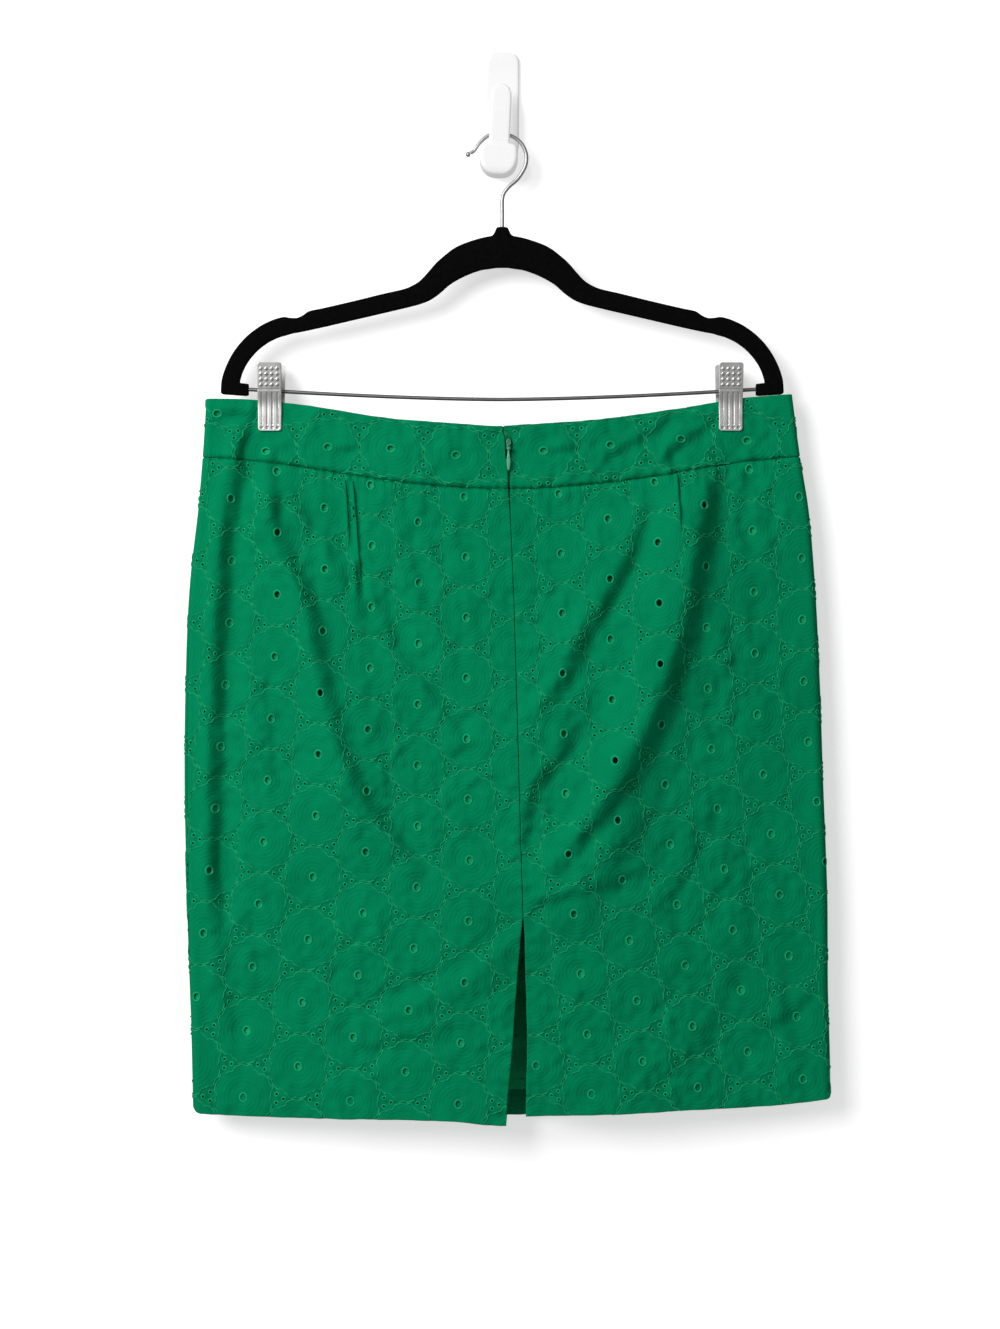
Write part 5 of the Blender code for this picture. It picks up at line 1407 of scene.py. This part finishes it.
CLIP_PROFILE = table(
    ("height", "out"), [(-271.1, 3.45), (-260, 3.45), (-249, 3.45), (-239.5, 5.8), (-217.4, 9.4)]
)
CLIP_WIDTH, CLIP_LOW_WIDTH = 19.4, 18.6
CLIP_PLATE = 1.2
CLIP_CORNER = 2.0
CORNER_STEPS = np.array((0, 0.12, 0.35, 0.7, 1.2, 1.7))  # rows of points in from each end
CORNERS_END = 2.2
LONG_EDGE, EDGE_SHARE, EDGE_DROP = 9.5, 0.5, 0.25  # from the middle, and how far in and down it rounds
BACK_JAW_SHIFT = 1.8 * MM
GROOVES = np.array((-6.3, -2.1, 2.1, 6.3))
GROOVE_TOP, GROOVE_LOW = -241.0, -266.6
GROOVE_DEEP, GROOVE_HALF = 0.6, 0.5
PRICK_HEIGHT, PRICK_DEEP, PRICK_HALF = -268.6, 1.15, 0.9
STUD_ROWS = np.array((-222.4, -226.6, -230.8, -235.0))
STUD_COLUMNS = np.array((-6.6, -2.3, 2.0, 6.3))
STUD_HIGH, STUD_HALF = 1.15, 1.75
RIB_HEIGHT, RIB_DEEP, RIB_HALF = -238.6, 0.18, 0.5
EAR, EAR_RADIUS = 0.9 * MM, 3.3 * MM
EAR_INTO_PLATE, EAR_ROOT = 0.6 * MM, 2.64 * MM
EAR_OFFSET = {"front": 8.5 * MM, "back": 7.1 * MM}
JAW_STEPS = {"front": (136, 50), "back": (80, 32)}
SPRING_HALF = 5.766 * MM
SPRING_RADIUS, SPRING_WIRE = 2.5 * MM, 0.6 * MM
SPRING_TURNS, SPRING_SIDES = 8, 18


def dips(distance, half):
    """Flat-bottomed dips with soft sides: exp(-(distance / half) ^ 4), summed over the last axis."""
    return np.exp(-((distance / half) ** 4)).sum(axis=-1)


def jaw_relief(x, z):
    """Relief of a jaw's outer face in mm: grooves with soft sides, pricked holes under them, and studs."""
    aside = x[..., None] - GROOVES
    length = smooth_step(GROOVE_LOW - 0.4, GROOVE_LOW + 0.4, z)
    length = length * (1 - smooth_step(GROOVE_TOP - 0.5, GROOVE_TOP + 0.5, z))
    grooves = dips(aside, GROOVE_HALF) * length
    pricks = dips(np.hypot(aside, z[..., None] - PRICK_HEIGHT), PRICK_HALF)
    across = np.abs(x[..., None] - STUD_COLUMNS)[..., None, :]
    along = np.abs(z[..., None] - STUD_ROWS)[..., None]
    studs = np.clip(1 - (across + along) / STUD_HALF, 0, 1).sum(axis=(-1, -2))
    rib = np.exp(-(((z - RIB_HEIGHT) / RIB_HALF) ** 2))
    return STUD_HIGH * studs - GROOVE_DEEP * grooves - PRICK_DEEP * pricks - RIB_DEEP * rib


def jaw(x0, facing, along, wide):
    """A bent plate with rounded corners: its inner face is out(z), and its outer one out(z) + plate + relief
    less the rounding of its long edges; the corners are cut by r - sqrt(r^2 - (r - distance to the end)^2)."""
    low, top = CLIP_PROFILE["height"][0] / MM, CLIP_PROFILE["height"][-1] / MM
    between = np.linspace(low + CORNERS_END, top - CORNERS_END, along)
    z = np.concatenate([low + CORNER_STEPS, between, top - CORNER_STEPS[::-1]])
    share = (z - low) / (top - low)
    from_end = np.minimum(z - low, top - z)
    cut = CLIP_CORNER - np.sqrt(np.maximum(CLIP_CORNER**2 - np.maximum(CLIP_CORNER - from_end, 0) ** 2, 0))
    half = (CLIP_LOW_WIDTH + (CLIP_WIDTH - CLIP_LOW_WIDTH) * share) / 2 - cut
    edge = CORNER_STEPS[:4] / LONG_EDGE
    t = np.concatenate([edge - 1, np.linspace(-0.9, 0.9, wide), 1 - edge[::-1]])
    x = half[:, None] * t
    z = np.broadcast_to(z[:, None], x.shape)
    out = read(CLIP_PROFILE, "height", "out", z * MM) / MM
    rounded = EDGE_DROP * np.clip(1 - (1 - np.abs(t)) * LONG_EDGE / EDGE_SHARE, 0, 1) ** 2
    outer = out + CLIP_PLATE + jaw_relief(x, z) - rounded
    rings = ((x, x[:, ::-1]), (outer * facing, out[:, ::-1] * facing), (z, z))
    points = MM * np.stack([np.concatenate(pair, axis=1) for pair in rings], axis=-1) + (x0, HANG_Y, 0)
    shape = points.shape[:2]
    number = np.arange(shape[0] * shape[1]).reshape(shape)
    half_ring = shape[1] // 2
    caps = []
    for row, turn in ((number[0], 1), (number[-1], -1)):
        front, rear = row[:half_ring], row[half_ring:][::-1]
        caps.append(np.stack([front[:-1], rear[:-1], rear[1:], front[1:]], axis=-1)[:, ::turn])
    faces = [loops(shape), *caps]
    if facing > 0:
        faces = [part[:, ::-1] for part in faces]
    return points.reshape(-1, 3), faces


def ear(x, facing):
    """An ear: half a disc about the bar and a web from it to the jaw's plate, with flat sides."""
    height = float(bar_height(x))
    out = float(read(CLIP_PROFILE, "height", "out", height)) + EAR_INTO_PLATE
    angle = np.linspace(-math.pi / 2, math.pi / 2, 15)
    y = np.concatenate([-facing * EAR_RADIUS * np.cos(angle), [facing * out, facing * out]]) + HANG_Y
    z = np.concatenate([EAR_RADIUS * np.sin(angle), [EAR_ROOT, -EAR_ROOT]]) + height
    ring = np.stack([0 * y, y, z], axis=-1)
    points = np.stack([ring + np.array((x - EAR / 2, 0, 0)), ring + np.array((x + EAR / 2, 0, 0))])
    return points.reshape(-1, 3), closed(points.shape[:2], turned=facing > 0)


sheet_steel = Paint("plated_sheet", Metallic=1.0)
place = sheet_steel.object_place()
cloudy = sheet_steel.noise(place, 150.0, 4.0)
grey = sheet_steel.mix(cloudy, (0.48, 0.48, 0.47, 1), (0.60, 0.60, 0.59, 1))
sheet_steel.shade(Base_Color=grey, Roughness=cloudy * 0.2 + 0.4)
sheet_steel.bump(sheet_steel.noise(place, 900.0) * 0.03)

for name, x0 in CLIP_X.items():
    for kind, facing in (("front", -1), ("back", 1)):
        shift = 0 if kind == "front" else -np.sign(x0) * BACK_JAW_SHIFT
        ears = [ear(x0 + end * EAR_OFFSET[kind], facing) for end in (-1, 1)]
        shape = joined(jaw(x0 + shift, facing, *JAW_STEPS[kind]), *ears)
        plate = add_piece(f"clip_{name}_{kind}_plate", *shape, sheet_steel, sharp=40)
        declare(plate, f"clip_{name}_{kind}_jaw")
    turn = np.linspace(0, 2 * math.pi * SPRING_TURNS, SPRING_TURNS * SPRING_SIDES + 1)
    x = x0 + SPRING_HALF * np.linspace(-1, 1, len(turn))
    round_bar = SPRING_RADIUS * np.cos(turn), SPRING_RADIUS * np.sin(turn)
    line = np.stack([x, HANG_Y + round_bar[0], bar_height(x) + round_bar[1]], axis=-1)
    spring = add_piece(f"clip_{name}_coil", *tube(line, SPRING_WIRE, 8, (1, 0, 0)), plated)
    declare(spring, f"clip_{name}_spring")


# ================================================================ the wall hook
# A white stick-on hook, moulded in glossy plastic: a tapered plate against the wall, a lip that stands out
# low down, a saddle on it that carries the wire, and a tongue in front, which keeps the wire from slipping.

HOOK_TILT = math.radians(2.5)
HOOK_VOXEL = 0.6 * MM

# painted light: the hook glows a little, which lifts its shaded sides in place of light let through the plastic
# and thrown back by the wall; its base is a light grey so that its lit faces do not pass white
gloss = Paint("white_plastic", Roughness=0.28, Emission_Color=(1, 1, 1, 1), Emission_Strength=0.3)
place = gloss.object_place()
tone = gloss.noise(place, 30.0)
white = gloss.mix(tone, (0.58, 0.58, 0.58, 1), (0.63, 0.63, 0.63, 1))
gloss.shade(Base_Color=white, Roughness=gloss.noise(place, 140.0) * 0.12 + 0.2)
gloss.bump(gloss.noise(place, 60.0) * 0.1)


def moulding(rows, radius, steps=6):
    """An upright moulded block: at each height a rounded rectangle of this half width, from back to front."""
    rows = table(("height", "half", "front", "back"), rows)
    long, short = rounded_section(rows["half"], (rows["back"] - rows["front"]) / 2, radius * MM, steps)
    depth = (rows["back"] + rows["front"])[:, None] / 2 + short
    points = np.stack([long, depth, np.broadcast_to(rows["height"][:, None], long.shape)], axis=-1)
    return points.reshape(-1, 3), closed(points.shape[:2])


plate = [
    (-50.0, 9.0, -2.6, 0), (-49.4, 11.4, -3.6, 0), (-47.8, 13.6, -4.0, 0), (-44.5, 15.3, -4.0, 0),
    (-40.0, 15.9, -4.0, 0), (-10.0, 14.6, -4.0, 0), (24.0, 13.3, -4.0, 0), (29.0, 12.8, -4.0, 0),
    (32.4, 11.0, -3.9, 0), (34.0, 8.8, -3.5, 0), (34.5, 6.8, -2.4, 0),
]  # fmt: skip
lip = [
    (-67.2, 3.2, -23.2, -5.0), (-66.7, 6.3, -24.4, -4.0), (-65.5, 9.0, -25.4, -3.0), (-63.6, 11.3, -26.0, -2.5),
    (-61.0, 13.2, -26.3, -2.0), (-57.5, 14.7, -26.3, -2.0), (-53.5, 15.4, -26.3, -2.0), (-46.5, 15.2, -26.3, -2.0),
    (-44.2, 14.4, -26.2, -2.0), (-42.8, 12.6, -25.8, -2.0), (-42.2, 10.4, -25.0, -2.0),
]  # fmt: skip
saddle = [(-52.0, 4.5, -25.0, -2.0), (-37.2, 4.5, -25.0, -2.0), (-36.5, 4.0, -25.0, -2.0)]
tongue = [
    (-54.0, 8.3, -26.0, -22.3), (-6.0, 8.3, -25.7, -22.3), (-1.0, 7.9, -25.7, -22.3), (2.4, 6.4, -25.6, -22.3),
    (4.3, 4.2, -25.2, -22.4), (5.0, 2.2, -24.6, -22.8),
]  # fmt: skip
points, faces = joined(moulding(plate, 1.6), moulding(lip, 3.0), moulding(saddle, 0.8), moulding(tongue, 1.6))
tilt = math.cos(HOOK_TILT), math.sin(HOOK_TILT)
turned = points @ np.array([(tilt[0], 0, -tilt[1]), (0, 1, 0), (tilt[1], 0, tilt[0])])
wall_hook = add_piece("wall_hook_moulding", turned, faces, gloss)
melt = wall_hook.modifiers.new("one_skin", "REMESH")
melt.mode = "VOXEL"
melt.voxel_size = HOOK_VOXEL
melt.use_smooth_shade = True
soften = wall_hook.modifiers.new("soft_corners", "SMOOTH")
soften.factor = 0.5
soften.iterations = 4
declare(wall_hook, "wall_hook")


# ================================================================ the end
# Nothing more is made here. The boxes round the CAD solids and round the dressed part are written down, in
# metres from the wall's origin, so that the one can be held against the other.

size = {"cad": cad_box, "visual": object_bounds()}
size = {key: [[float(value) for value in corner] for corner in box] for key, box in size.items()}
